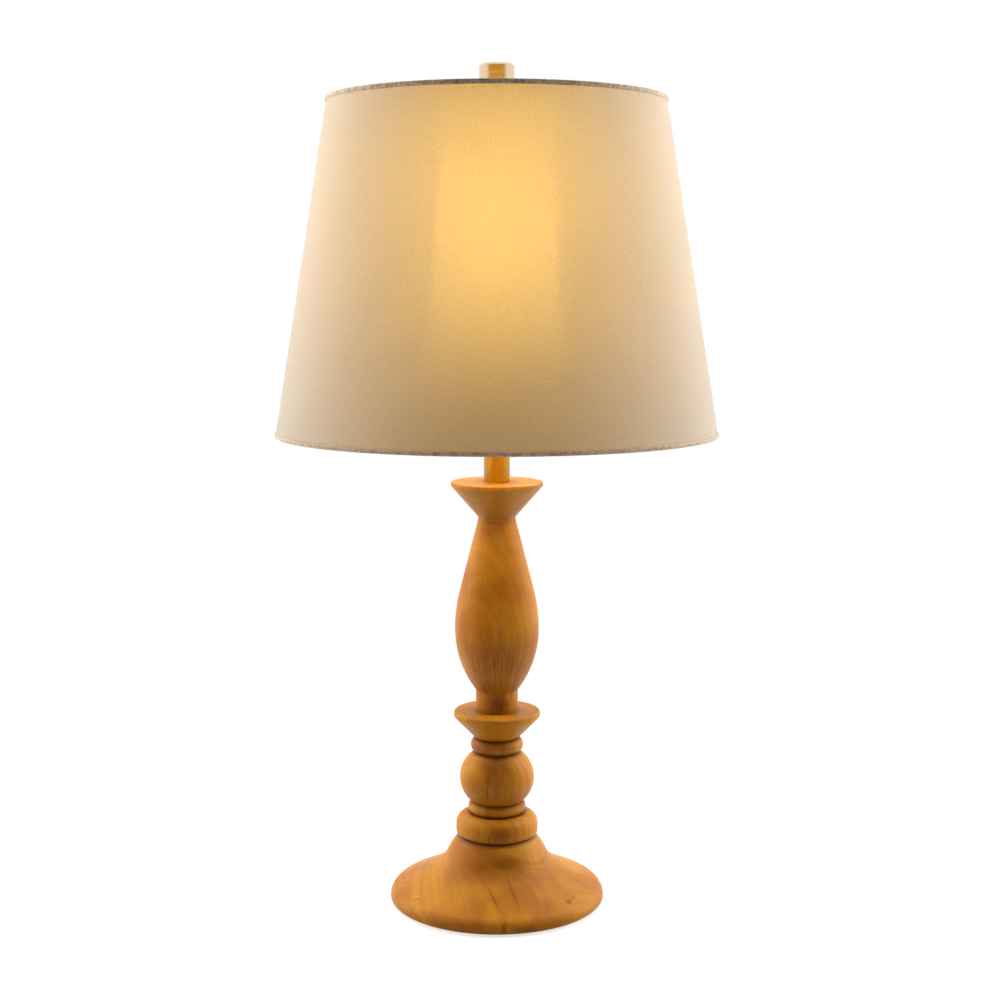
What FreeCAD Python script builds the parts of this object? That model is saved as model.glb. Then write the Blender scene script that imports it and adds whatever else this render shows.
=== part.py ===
import FreeCAD, Part
import Sketcher
import math
import os

# A table lamp: wooden turnings threaded on a pipe, a brass neck, a socket with its bulb,
# a wire harp and a tapered fabric shade held down by a finial.
# Millimetres, +Z up. The origin is the centre of the felt's underside, on the table.

doc = FreeCAD.newDocument("column_table_lamp")


# ---------------------------------------------------------------- driving dimensions
sizes = {
    # gaps
    "bore_gap": 0.35,             # drilled wood round the pipe
    "fit_gap": 0.1,               # pressed or pushed fit
    "run_gap": 0.08,              # sliding or turning fit
    # foot
    "felt_thickness": 1.5,
    "felt_margin": 6,             # the felt's edge in from the wood's
    "base_radius": 84,
    "base_height": 50.5,
    "base_edge_round": 1.5,
    "rim_straight": 2.5,
    "rim_round": 9,
    "rim_turn": 66,               # degrees of the rim's round, from the side up to the dome
    "dome_inner_radius": 48,
    "dome_inner_height": 26.5,
    "dome_round": 260,
    "hollow_round": 23,
    "shoulder_foot_radius": 39.3,
    "shoulder_foot_height": 36.5,
    "shoulder_round": 60,
    "shoulder_top_radius": 30,
    "recess_wall": 27.5,          # wood outside the recess
    "recess_depth": 15,
    "weight_thickness": 7.5,
    "weight_hole_radius": 21.5,
    "weight_gap": 0.5,
    "nut_well_radius": 20,
    "nut_well_depth": 13.5,
    "screw_radius": 1.75,
    "screw_length": 18,
    "screw_head_radius": 3.6,
    "screw_head_height": 2.2,
    "cord_axis_height": 6.2,      # above the wood's underside
    "cord_hole_radius": 4,
    "cord_bore_radius": 3,
    "bush_flange_radius": 5,
    "bush_flange_thickness": 1.6,
    "bush_length": 14,
    "bush_seat_depth": 4.5,       # the flat under the bush's flange, in from the wood's edge
    # pipe and nuts
    "pipe_radius": 4.9,
    "pipe_bore_radius": 3.4,
    "pipe_end_below_nut": 2,
    "pipe_into_cap": 8,
    "washer_radius": 12,
    "washer_thickness": 1.6,
    "nut_flats": 14.3,
    "nut_height": 4,
    # turnings, from the foot up
    "disc_height": 18,
    "disc_radius": 32.2,
    "disc_top_round": 9,
    "disc_low_round": 4,
    "ring_height": 9.5,
    "ring_face_radius": 20.5,
    "ring_round": 6.4,
    "ball_height": 39.5,
    "ball_low_radius": 20.3,
    "ball_top_radius": 17.9,
    "ball_round": 24.5,
    "bead_height": 11.3,
    "bead_face_radius": 17.6,
    "bead_round": 6.95,
    "low_dish_height": 21.7,
    "low_dish_radius": 33.7,
    "low_dish_foot_radius": 17,
    "low_dish_lip": 4.3,
    "low_dish_lip_round": 1.9,
    "baluster_height": 151,
    "baluster_neck_radius": 16.4,
    "belly_radius": 32.6,
    "belly_height": 65,
    "belly_low_round": 80,
    "belly_top_round": 120,
    "flank_angle": 14.3,
    "waist_radius": 14.5,
    "top_dish_height": 29,
    "top_dish_radius": 35.5,
    "top_dish_lip": 2.8,
    "top_dish_lip_round": 0.9,
    "top_dish_waist": 2,
    # neck
    "neck_radius": 10,
    "neck_wall": 1,
    "neck_length": 59,
    "neck_seat_depth": 1.5,
    "check_overhang": 1,
    "check_thickness": 2,
    "check_spigot": 3,
    "check_chamfer": 0.5,
    # harp and its saddle
    "saddle_thickness": 1.5,
    "saddle_width": 13,
    "post_gap": 3.1,              # between the socket's cap and a sleeve
    "post_length": 8,
    "harp_height": 214,           # saddle's underside to the shade's seat
    "harp_width": 104,
    "wire_radius": 1.6,
    "wire_gap": 0.5,              # between a post's end and the wire's
    "wire_straight": 26,
    "wire_bend": 25,
    "wire_bend_angle": 40,
    "wire_top_bend": 42,
    "clip_length": 17,
    "clip_width": 8,
    "clip_thickness": 3,
    "clip_flange": 2.6,
    "stud_radius": 3.1,
    "stud_length": 13,
    "stud_chamfer": 0.5,
    "stud_rivet_radius": 2,
    "sleeve_radius": 3.4,
    "sleeve_length": 15,
    "sleeve_round": 0.55,
    # socket
    "cap_radius": 17.5,
    "cap_wall": 0.8,
    "cap_collar_radius": 7.8,
    "cap_collar_height": 8,
    "cap_height": 21,
    "cap_bowl_round": 9,
    "shell_length": 43,
    "shell_wall": 0.6,
    "shell_overlap": 5,
    "liner_paper": 0.8,
    "core_gap": 0.9,              # between the paper liner and the insulating body
    "core_height": 20,
    "screw_shell_length": 24,
    "screw_shell_wall": 0.5,
    "contact_radius": 4.5,
    "contact_thickness": 0.8,
    "switch_rim_gap": 0.5,        # between the cap's rim and the switch's shaft
    "switch_shaft_radius": 2,
    "switch_shaft_length": 25,
    "switch_shaft_depth": 5,
    "knob_length": 16,
    "knob_radius": 5.5,
    "knob_bore_depth": 8,
    "knob_boss": 5.4,             # the round part before the two flats
    "knob_blade": 3.4,
    "set_screw_radius": 1.5,
    "set_screw_stand_out": 2.5,
    "terminal_radius": 2.6,
    "terminal_length": 2.6,
    "terminal_height": 10,
    # bulb
    "bulb_cap_radius": 13,
    "bulb_cap_length": 21,
    "bulb_cap_wall": 0.8,
    "bulb_cap_round": 1.6,
    "bulb_tip_radius": 4.6,
    "bulb_tip_round": 2.3,
    "bulb_tip_height": 1.5,
    "bulb_insulator_radius": 9.2,
    "bulb_insulator_height": 3.5,
    "bulb_radius": 30,
    "bulb_centre_height": 78,     # tip to the widest place
    "bulb_neck_seat": 6,          # how far the glass stands in the cap
    "bulb_neck_rise": 3,
    "bulb_glass": 0.8,
    "stem_radius": 4.5,
    "stem_top_radius": 2.2,
    "stem_height": 30,
    "filament_radius": 0.5,
    # shade
    "shade_top_radius": 126.5,
    "shade_low_radius": 168.3,
    "shade_height": 251.2,
    "shade_drop": 12.6,           # rim above the spider's seat
    "fabric": 0.6,
    "styrene": 0.5,
    "trim": 0.5,
    "trim_top_height": 3.6,
    "trim_low_height": 3,
    "trim_round": 0.7,
    "ring_wire_radius": 1.6,
    "hub_radius": 12,
    "hub_thickness": 3,
    "hub_chamfer": 0.4,
    "hub_bore_gap": 0.4,
    "arm_radius": 1.5,
    "arm_bend": 25,
    "arm_angle": 16,              # degrees that an arm rises at
    "arm_past_ring": 1.3,
    # finial
    "finial_flange_radius": 8,
    "finial_flange_edge": 0.8,
    "finial_flange_height": 1.6,
    "finial_neck_radius": 5.5,
    "finial_neck_height": 10,
    "finial_spigot_radius": 4,
    "finial_spigot_height": 6,
    "finial_bore_over_stud": 0.6,
    "knob_top_radius": 13.3,
    "knob_height": 25,
    "knob_chamfer": 1.5,
}

sheet = doc.addObject("Spreadsheet::Sheet", "Sizes")
for row, (name, size) in enumerate(sizes.items(), start=1):
    sheet.set(f"A{row}", name)
    sheet.set(f"B{row}", str(size))
    sheet.setAlias(f"B{row}", name)
doc.recompute()


class Size:
    """A number with the formula on the sheet's cells that gives it."""

    def __init__(self, value, formula):
        self.value = value
        self.formula = formula

    def joined(self, other, sign, value):
        return Size(value, f"({self.formula} {sign} {other.formula})")

    def __add__(self, other):
        other = size_of(other)
        return self.joined(other, "+", self.value + other.value)

    def __sub__(self, other):
        other = size_of(other)
        return self.joined(other, "-", self.value - other.value)

    def __mul__(self, other):
        other = size_of(other)
        return self.joined(other, "*", self.value * other.value)

    def __truediv__(self, other):
        other = size_of(other)
        return self.joined(other, "/", self.value / other.value)

    def __radd__(self, other):
        return size_of(other) + self

    def __rsub__(self, other):
        return size_of(other) - self

    def __rmul__(self, other):
        return size_of(other) * self

    def __neg__(self):
        return size_of(0) - self


def size_of(number):
    return number if isinstance(number, Size) else Size(float(number), str(number))


def root(size):
    return Size(math.sqrt(size.value), f"sqrt({size.formula})")


def sine(degrees):
    return Size(math.sin(math.radians(degrees.value)), f"sin({degrees.formula} * 1 deg)")


def cosine(degrees):
    return Size(math.cos(math.radians(degrees.value)), f"cos({degrees.formula} * 1 deg)")


class Cells:
    """Reads a driving dimension by its name, as in d.base_radius."""

    def __getattr__(self, name):
        return Size(float(sizes[name]), f"Sizes.{name}")


d = Cells()


# ---------------------------------------------------------------- drawing helpers
parts = []
sketches = []


def new_part(name, z=None):
    """A body of its own for one piece, lifted to its height above the table."""
    body = doc.addObject("PartDesign::Body", name)
    body.Label = name
    if z is not None:
        body.setExpression("Placement.Base.z", z.formula)
    parts.append(body)
    return body


def new_sketch(body, name, plane="XZ_Plane", offset=None):
    """A sketch on one of the body's own planes, moved off it along its normal by offset."""
    sketch = body.newObject("Sketcher::SketchObject", f"{body.Name}_{name}")
    support = [feature for feature in body.Origin.OriginFeatures if feature.Role == plane][0]
    sketch.AttachmentSupport = [(support, "")]
    sketch.MapMode = "FlatFace"
    if offset is not None:
        sketch.setExpression("AttachmentOffset.Base.z", offset.formula)
    sketches.append(sketch)
    return sketch


def bind(sketch, constraint, size):
    index = sketch.addConstraint(constraint)
    sketch.setExpression(f"Constraints[{index}]", size.formula)


def pin_point(sketch, geometry, end, point):
    """Ties a point to the origin by its two coordinates."""
    for kind, axis, size in (("DistanceX", -2, point[0]), ("DistanceY", -1, point[1])):
        if size.formula == "0":
            sketch.addConstraint(Sketcher.Constraint("PointOnObject", geometry, end, axis))
        else:
            constraint = Sketcher.Constraint(kind, -1, 1, geometry, end, size.value)
            bind(sketch, constraint, size)


def line(x, y):
    return ("line", size_of(x), size_of(y), None)


def arc(x, y, radius, hollow=False):
    """To (x, y) on an arc of under half a circle. Going anticlockwise round an outline,
    it bulges outwards, or inwards if it is hollow."""
    return ("arc", size_of(x), size_of(y), (size_of(radius), hollow))


def arc_geometry(start, end, radius, hollow):
    (x1, y1), (x2, y2) = start, end
    chord = math.hypot(x2 - x1, y2 - y1)
    rise = math.sqrt(max(radius * radius - chord * chord / 4, 0))
    side = 1 if hollow else -1
    cx = (x1 + x2) / 2 + side * rise * (y2 - y1) / chord
    cy = (y1 + y2) / 2 - side * rise * (x2 - x1) / chord
    turn = [math.atan2(y1 - cy, x1 - cx), math.atan2(y2 - cy, x2 - cx)]
    if hollow:
        turn.reverse()
    circle = Part.Circle(FreeCAD.Vector(cx, cy, 0), FreeCAD.Vector(0, 0, 1), radius)
    return Part.ArcOfCircle(circle, *turn)


def draw_path(sketch, steps, closed):
    """Lines and arcs through the steps' points, each tied to the sheet. An arc's sketch
    geometry always runs anticlockwise, so a hollow one starts at its second point."""
    ends = []
    count = len(steps) if closed else len(steps) - 1
    for index in range(count):
        begin = steps[index]
        finish = steps[(index + 1) % len(steps)]
        p = (begin[1].value, begin[2].value)
        q = (finish[1].value, finish[2].value)
        if finish[0] == "line":
            shape = Part.LineSegment(FreeCAD.Vector(*p, 0), FreeCAD.Vector(*q, 0))
            ends.append((1, 2))
        else:
            radius, hollow = finish[3]
            shape = arc_geometry(p, q, radius.value, hollow)
            ends.append((2, 1) if hollow else (1, 2))
        sketch.addGeometry(shape)
    for index in range(count):
        begin = steps[index]
        finish = steps[(index + 1) % len(steps)]
        pin_point(sketch, index, ends[index][0], (begin[1], begin[2]))
        if closed or index < count - 1:
            following = (index + 1) % count
            joined = (index, ends[index][1], following, ends[following][0])
            sketch.addConstraint(Sketcher.Constraint("Coincident", *joined))
        else:
            pin_point(sketch, index, ends[index][1], (finish[1], finish[2]))
        if finish[0] == "arc":
            radius = finish[3][0]
            bind(sketch, Sketcher.Constraint("Radius", index, radius.value), radius)


def draw_circle(sketch, x, y, radius):
    centre = FreeCAD.Vector(x.value, y.value, 0)
    circle = Part.Circle(centre, FreeCAD.Vector(0, 0, 1), radius.value)
    index = sketch.addGeometry(circle)
    pin_point(sketch, index, 3, (x, y))
    bind(sketch, Sketcher.Constraint("Radius", index, radius.value), radius)


def turned(name, z, steps):
    """A piece turned about the lamp's axis from its half outline, anticlockwise in X and Z."""
    body = new_part(name, z)
    sketch = new_sketch(body, "outline")
    draw_path(sketch, steps, closed=True)
    turning = body.newObject("PartDesign::Revolution", f"{name}_turning")
    turning.Profile = sketch
    turning.ReferenceAxis = (sketch, ["V_Axis"])
    turning.Angle = 360
    return body


def block(inner, outer, low, high):
    """The half outline of a plain ring, disc or tube."""
    return [line(inner, low), line(outer, low), line(outer, high), line(inner, high)]


def pad(body, sketch, name, height, backwards=False):
    """Material along the sketch plane's normal, or against it if backwards."""
    feature = body.newObject("PartDesign::Pad", f"{body.Name}_{name}")
    feature.Profile = sketch
    feature.Reversed = backwards
    feature.setExpression("Length", height.formula)


def pocket(body, sketch, name, depth, forwards=False):
    """A cut against the sketch plane's normal, or along it if forwards."""
    feature = body.newObject("PartDesign::Pocket", f"{body.Name}_{name}")
    feature.Profile = sketch
    feature.Reversed = forwards
    feature.setExpression("Length", depth.formula)
    return feature


def ring_edges(body, radius, heights):
    """Names of the body's round edges of one radius at the given heights."""
    doc.recompute()
    names = []
    for index, edge in enumerate(body.Tip.Shape.Edges, start=1):
        curve = edge.Curve
        if isinstance(curve, Part.Circle) and abs(curve.Radius - radius.value) < 0.01:
            if any(abs(curve.Center.z - height.value) < 0.01 for height in heights):
                names.append(f"Edge{index}")
    return names


def soften(body, kind, radius, heights, size):
    """A fillet or a chamfer on the round edges of one radius."""
    names = ring_edges(body, radius, heights)
    solid = body.Tip
    feature = body.newObject(f"PartDesign::{kind}", f"{body.Name}_{kind.lower()}")
    feature.Base = (solid, names)
    feature.setExpression("Radius" if kind == "Fillet" else "Size", size.formula)


def piped(name, z, steps, radius):
    """A round wire along a path in the lamp's width, whose first run rises."""
    body = new_part(name, z)
    _, start_x, start_height, _ = steps[0]
    section = new_sketch(body, "section", "XY_Plane", start_height)
    draw_circle(section, start_x, size_of(0), radius)
    path = new_sketch(body, "path")
    draw_path(path, steps, closed=False)
    wire = body.newObject("PartDesign::AdditivePipe", f"{name}_wire")
    wire.Profile = section
    wire.Spine = path
    return body


# ---------------------------------------------------------------- heights above the table
wood_bore = d.pipe_radius + d.bore_gap
base_z = d.felt_thickness
disc_z = base_z + d.base_height
ring_z = disc_z + d.disc_height
ball_z = ring_z + d.ring_height
bead_z = ball_z + d.ball_height
low_dish_z = bead_z + d.bead_height
baluster_z = low_dish_z + d.low_dish_height
top_dish_z = baluster_z + d.baluster_height
dish_top_z = top_dish_z + d.top_dish_height
neck_top_z = dish_top_z + d.neck_length
saddle_z = neck_top_z + d.check_thickness
cap_z = saddle_z + d.saddle_thickness
harp_top_z = saddle_z + d.harp_height
hub_z = harp_top_z
finial_z = hub_z + d.hub_thickness
shade_top_z = hub_z + d.shade_drop
shade_low_z = shade_top_z - d.shade_height
recess_top_z = base_z + d.recess_depth
well_top_z = recess_top_z + d.nut_well_depth
nut_z = well_top_z - d.washer_thickness - d.nut_height


# ---------------------------------------------------------------- foot
recess_radius = d.base_radius - d.recess_wall
weight_radius = recess_radius - d.weight_gap
screw_circle = (d.weight_hole_radius + weight_radius) / 2
bush_seat = d.base_radius - d.bush_seat_depth
screw_bearings = (90, 210, 330)


def make_felt():
    turned("felt_pad", size_of(0), block(0, d.base_radius - d.felt_margin, 0, d.felt_thickness))


def make_base():
    """Domed wooden foot: recess below for the weight, a well for the nut, a hole for the pipe."""
    rim_x = d.base_radius - d.rim_round
    body = turned("base", base_z, [
        line(recess_radius, 0),
        line(d.base_radius - d.base_edge_round, 0),
        arc(d.base_radius, d.base_edge_round, d.base_edge_round),
        line(d.base_radius, d.rim_straight),
        arc(rim_x + d.rim_round * cosine(d.rim_turn),
            d.rim_straight + d.rim_round * sine(d.rim_turn), d.rim_round),
        arc(d.dome_inner_radius, d.dome_inner_height, d.dome_round, hollow=True),
        arc(d.shoulder_foot_radius, d.shoulder_foot_height, d.hollow_round, hollow=True),
        arc(d.shoulder_top_radius, d.base_height, d.shoulder_round),
        line(wood_bore, d.base_height),
        line(wood_bore, d.recess_depth + d.nut_well_depth),
        line(d.nut_well_radius, d.recess_depth + d.nut_well_depth),
        line(d.nut_well_radius, d.recess_depth),
        line(recess_radius, d.recess_depth),
    ])
    drilling = new_sketch(body, "cord_hole_sketch")
    draw_circle(drilling, size_of(0), d.cord_axis_height, d.cord_hole_radius)
    pocket(body, drilling, "cord_hole", d.base_radius)
    facing = new_sketch(body, "bush_seat_sketch", offset=-bush_seat)
    draw_circle(facing, size_of(0), d.cord_axis_height, d.bush_flange_radius + d.fit_gap)
    pocket(body, facing, "bush_seat", d.bush_seat_depth)
    screw_hole = new_sketch(body, "screw_hole_sketch", "XY_Plane", d.recess_depth)
    draw_circle(screw_hole, size_of(0), screw_circle, d.screw_radius + d.fit_gap)
    screw_reach = d.screw_length - d.weight_thickness
    hole = pocket(body, screw_hole, "screw_hole", screw_reach + d.fit_gap, forwards=True)
    spread_round(body, hole)


def spread_round(body, feature):
    """Repeats a screw's hole evenly about the lamp's axis."""
    pattern = body.newObject("PartDesign::PolarPattern", f"{feature.Name}_pattern")
    pattern.Originals = [feature]
    axis = [item for item in body.Origin.OriginFeatures if item.Role == "Z_Axis"][0]
    pattern.Axis = (axis, [""])
    pattern.Angle = 360
    pattern.Occurrences = len(screw_bearings)
    body.Tip = pattern


def make_weight():
    low = d.recess_depth - d.weight_thickness
    ring = block(d.weight_hole_radius, weight_radius, low, d.recess_depth)
    body = turned("base_weight", base_z, ring)
    sketch = new_sketch(body, "screw_hole_sketch", "XY_Plane", d.recess_depth)
    draw_circle(sketch, size_of(0), screw_circle, d.screw_radius + d.fit_gap)
    hole = pocket(body, sketch, "screw_hole", d.weight_thickness)
    spread_round(body, hole)


def make_weight_screws():
    """Round-head screws, as a group of separate solids."""
    head_low = recess_top_z - d.weight_thickness - d.screw_head_height
    screws = []
    for bearing in screw_bearings:
        head = doc.addObject("Part::Cylinder", f"screw_head_{bearing}")
        head.setExpression("Radius", d.screw_head_radius.formula)
        head.setExpression("Height", d.screw_head_height.formula)
        shank = doc.addObject("Part::Cylinder", f"screw_shank_{bearing}")
        shank.setExpression("Radius", d.screw_radius.formula)
        shank.setExpression("Height", (d.screw_length + d.screw_head_height).formula)
        screw = doc.addObject("Part::Fuse", f"screw_{bearing}")
        screw.Base = head
        screw.Tool = shank
        across = screw_circle * cosine(size_of(bearing))
        away = screw_circle * sine(size_of(bearing))
        screw.setExpression("Placement.Base.x", across.formula)
        screw.setExpression("Placement.Base.y", away.formula)
        screws.append(screw)
    group = doc.addObject("Part::Compound", "weight_screws")
    group.Links = screws
    group.setExpression("Placement.Base.z", head_low.formula)
    group.Label = "weight_screws"
    parts.append(group)


def make_cord_bush():
    """Flanged bush in the back of the foot, where the lead would come out."""
    body = new_part("cord_bush", base_z)
    for name, radius, start, length in (
        ("sleeve", d.cord_hole_radius, bush_seat - d.bush_length, d.bush_length),
        ("flange", d.bush_flange_radius, bush_seat, d.bush_flange_thickness),
    ):
        sketch = new_sketch(body, f"{name}_sketch", offset=-start)
        draw_circle(sketch, size_of(0), d.cord_axis_height, radius)
        draw_circle(sketch, size_of(0), d.cord_axis_height, d.cord_bore_radius)
        pad(body, sketch, name, length, backwards=True)


# ---------------------------------------------------------------- pipe, nut and washer
def make_pipe():
    low = nut_z - d.pipe_end_below_nut
    high = cap_z + d.pipe_into_cap
    turned("lamp_pipe", low, block(d.pipe_bore_radius, d.pipe_radius, 0, high - low))


def make_bottom_washer():
    height = d.washer_thickness
    hole = d.pipe_radius + d.fit_gap
    turned("bottom_washer", well_top_z - height, block(hole, d.washer_radius, 0, height))


def make_bottom_nut():
    body = new_part("bottom_nut", nut_z)
    sketch = new_sketch(body, "hexagon", "XY_Plane")
    half = d.nut_flats / 2
    corner = d.nut_flats / math.sqrt(3)
    draw_path(sketch, [
        line(corner, 0), line(corner / 2, half), line(-corner / 2, half),
        line(-corner, 0), line(-corner / 2, -half), line(corner / 2, -half),
    ], closed=True)
    draw_circle(sketch, size_of(0), size_of(0), d.pipe_radius)
    pad(body, sketch, "prism", d.nut_height)


# ---------------------------------------------------------------- turnings
def make_base_disc():
    turned("base_disc", disc_z, [
        line(wood_bore, 0),
        line(d.disc_radius - d.disc_low_round, 0),
        arc(d.disc_radius, d.disc_low_round, d.disc_low_round),
        line(d.disc_radius, d.disc_height - d.disc_top_round),
        arc(d.disc_radius - d.disc_top_round, d.disc_height, d.disc_top_round),
        line(wood_bore, d.disc_height),
    ])


def make_lower_ring():
    face = d.ring_face_radius
    make_rounded("lower_ring", ring_z, d.ring_height, face, face, d.ring_round)


def make_ball():
    make_rounded("ball", ball_z, d.ball_height, d.ball_low_radius, d.ball_top_radius, d.ball_round)


def make_upper_bead():
    face = d.bead_face_radius
    make_rounded("upper_bead", bead_z, d.bead_height, face, face, d.bead_round)


def make_rounded(name, z, height, low_radius, top_radius, round_radius):
    """A turning with one arc between two flat faces."""
    turned(name, z, [
        line(wood_bore, 0),
        line(low_radius, 0),
        arc(top_radius, height, round_radius),
        line(wood_bore, height),
    ])


def make_low_dish():
    shelf = d.low_dish_height - d.low_dish_lip
    body = turned("lower_dish", low_dish_z, [
        line(wood_bore, 0),
        line(d.low_dish_foot_radius, 0),
        line(d.low_dish_radius, shelf),
        line(d.low_dish_radius, d.low_dish_height),
        line(wood_bore, d.low_dish_height),
    ])
    lip = (shelf, d.low_dish_height)
    soften(body, "Fillet", d.low_dish_radius, lip, d.low_dish_lip_round)


def make_baluster():
    """Neck, then a belly of two arcs that share its widest circle, then a straight flank."""
    fall = d.belly_low_round - (d.belly_radius - d.baluster_neck_radius)
    neck_top = d.belly_height - root(d.belly_low_round * d.belly_low_round - fall * fall)
    flank_x = d.belly_radius - d.belly_top_round * (1 - cosine(d.flank_angle))
    flank_y = d.belly_height + d.belly_top_round * sine(d.flank_angle)
    turned("baluster", baluster_z, [
        line(wood_bore, 0),
        line(d.baluster_neck_radius, 0),
        line(d.baluster_neck_radius, neck_top),
        arc(d.belly_radius, d.belly_height, d.belly_low_round),
        arc(flank_x, flank_y, d.belly_top_round),
        line(d.waist_radius, d.baluster_height),
        line(wood_bore, d.baluster_height),
    ])


def make_top_dish():
    shelf = d.top_dish_height - d.top_dish_lip
    seat = d.neck_radius + d.fit_gap
    body = turned("upper_dish", top_dish_z, [
        line(wood_bore, 0),
        line(d.waist_radius, 0),
        line(d.waist_radius, d.top_dish_waist),
        line(d.top_dish_radius, shelf),
        line(d.top_dish_radius, d.top_dish_height),
        line(seat, d.top_dish_height),
        line(seat, d.top_dish_height - d.neck_seat_depth),
        line(wood_bore, d.top_dish_height - d.neck_seat_depth),
    ])
    lip = (shelf, d.top_dish_height)
    soften(body, "Fillet", d.top_dish_radius, lip, d.top_dish_lip_round)


# ---------------------------------------------------------------- neck and saddle
def make_neck_tube():
    length = d.neck_length + d.neck_seat_depth
    bore = d.neck_radius - d.neck_wall
    tube = block(bore, d.neck_radius, 0, length)
    turned("neck_tube", dish_top_z - d.neck_seat_depth, tube)


def make_check_ring():
    """Brass washer on the neck, with a spigot that centres it in the tube."""
    bore = d.pipe_radius + d.fit_gap
    spigot = d.neck_radius - d.neck_wall - d.fit_gap
    edge = d.neck_radius + d.check_overhang
    body = turned("check_ring", neck_top_z, [
        line(bore, -d.check_spigot),
        line(spigot, -d.check_spigot),
        line(spigot, 0),
        line(edge, 0),
        line(edge, d.check_thickness),
        line(bore, d.check_thickness),
    ])
    soften(body, "Chamfer", edge, (size_of(0), d.check_thickness), d.check_chamfer)


post_reach = d.cap_radius + d.post_gap + d.sleeve_radius


def make_saddle():
    """Steel strip with round ends, a hole for the pipe and a post at each end."""
    body = new_part("harp_saddle", saddle_z)
    strip = new_sketch(body, "strip", "XY_Plane")
    half = d.saddle_width / 2
    draw_path(strip, [
        line(post_reach, -half),
        arc(post_reach + half, 0, half),
        arc(post_reach, half, half),
        line(-post_reach, half),
        arc(-post_reach - half, 0, half),
        arc(-post_reach, -half, half),
    ], closed=True)
    draw_circle(strip, size_of(0), size_of(0), d.pipe_radius + d.fit_gap)
    pad(body, strip, "plate", d.saddle_thickness)
    for side, name in ((1, "right"), (-1, "left")):
        sketch = new_sketch(body, f"post_{name}_sketch", "XY_Plane")
        draw_circle(sketch, side * post_reach, size_of(0), d.wire_radius)
        pad(body, sketch, f"post_{name}", d.saddle_thickness + d.post_length)


# ---------------------------------------------------------------- harp
def make_harp_wire():
    """One wire: straight legs over the posts, bent out, up, and over the flat top."""
    side = d.harp_width / 2
    start = d.post_length + d.wire_gap
    swing = d.wire_bend * (1 - cosine(d.wire_bend_angle))
    rise = d.wire_bend * sine(d.wire_bend_angle)
    knee = start + d.wire_straight
    spread = side - post_reach - 2 * swing
    slope = spread * cosine(d.wire_bend_angle) / sine(d.wire_bend_angle)
    shoulder = knee + rise + slope
    top = d.harp_height - d.saddle_thickness - d.clip_thickness - d.wire_radius
    crown = side - d.wire_top_bend
    piped("harp_wire", cap_z, [
        line(post_reach, start),
        line(post_reach, knee),
        arc(post_reach + swing, knee + rise, d.wire_bend, hollow=True),
        line(side - swing, shoulder),
        arc(side, shoulder + rise, d.wire_bend),
        line(side, top - d.wire_top_bend),
        arc(crown, top, d.wire_top_bend),
        line(-crown, top),
        arc(-side, top - d.wire_top_bend, d.wire_top_bend),
        line(-side, shoulder + rise),
        arc(swing - side, shoulder, d.wire_bend),
        line(-post_reach - swing, knee + rise),
        arc(-post_reach, knee, d.wire_bend, hollow=True),
        line(-post_reach, start),
    ], d.wire_radius)


def make_harp_clip():
    """Stamped clip over the wire's flat top, its flanges folded down each side of the wire."""
    body = new_part("harp_clip", harp_top_z)
    sketch = new_sketch(body, "section", "YZ_Plane", -d.clip_length / 2)
    half = d.clip_width / 2
    slot = d.wire_radius + d.fit_gap
    foot = -d.clip_thickness - d.clip_flange
    draw_path(sketch, [
        line(-half, foot), line(-slot, foot), line(-slot, -d.clip_thickness),
        line(slot, -d.clip_thickness), line(slot, foot), line(half, foot),
        line(half, 0), line(-half, 0),
    ], closed=True)
    pad(body, sketch, "channel", d.clip_length)
    rivet = new_sketch(body, "rivet_hole_sketch", "XY_Plane")
    draw_circle(rivet, size_of(0), size_of(0), d.stud_rivet_radius)
    pocket(body, rivet, "rivet_hole", d.clip_thickness)


def make_harp_stud():
    """Threaded stud riveted in the clip."""
    body = turned("harp_stud", harp_top_z, [
        line(0, -d.clip_thickness),
        line(d.stud_rivet_radius, -d.clip_thickness),
        line(d.stud_rivet_radius, 0),
        line(d.stud_radius, 0),
        line(d.stud_radius, d.stud_length),
        line(0, d.stud_length),
    ])
    soften(body, "Chamfer", d.stud_radius, (d.stud_length,), d.stud_chamfer)


def make_sleeves():
    """Sleeves that slide down over the posts and hold the wire's ends."""
    for side, name in ((-1, "left"), (1, "right")):
        bore = d.wire_radius + d.run_gap
        body = turned(f"sleeve_{name}", cap_z, block(bore, d.sleeve_radius, 0, d.sleeve_length))
        body.setExpression("Placement.Base.x", (side * post_reach).formula)
        ends = (size_of(0), d.sleeve_length)
        soften(body, "Fillet", d.sleeve_radius, ends, d.sleeve_round)


# ---------------------------------------------------------------- socket
shell_radius = d.cap_radius - d.cap_wall - d.fit_gap
liner_radius = shell_radius - d.shell_wall - d.fit_gap
core_radius = liner_radius - d.liner_paper - d.core_gap
terminal_reach = core_radius - d.terminal_length
shaft_start = core_radius - d.switch_shaft_depth
shell_z = cap_z + d.cap_height - d.shell_overlap
core_z = cap_z + d.cap_collar_height
contact_z = core_z + d.core_height
tip_z = contact_z + d.contact_thickness
switch_z = cap_z + d.cap_height + d.switch_rim_gap + d.switch_shaft_radius


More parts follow.
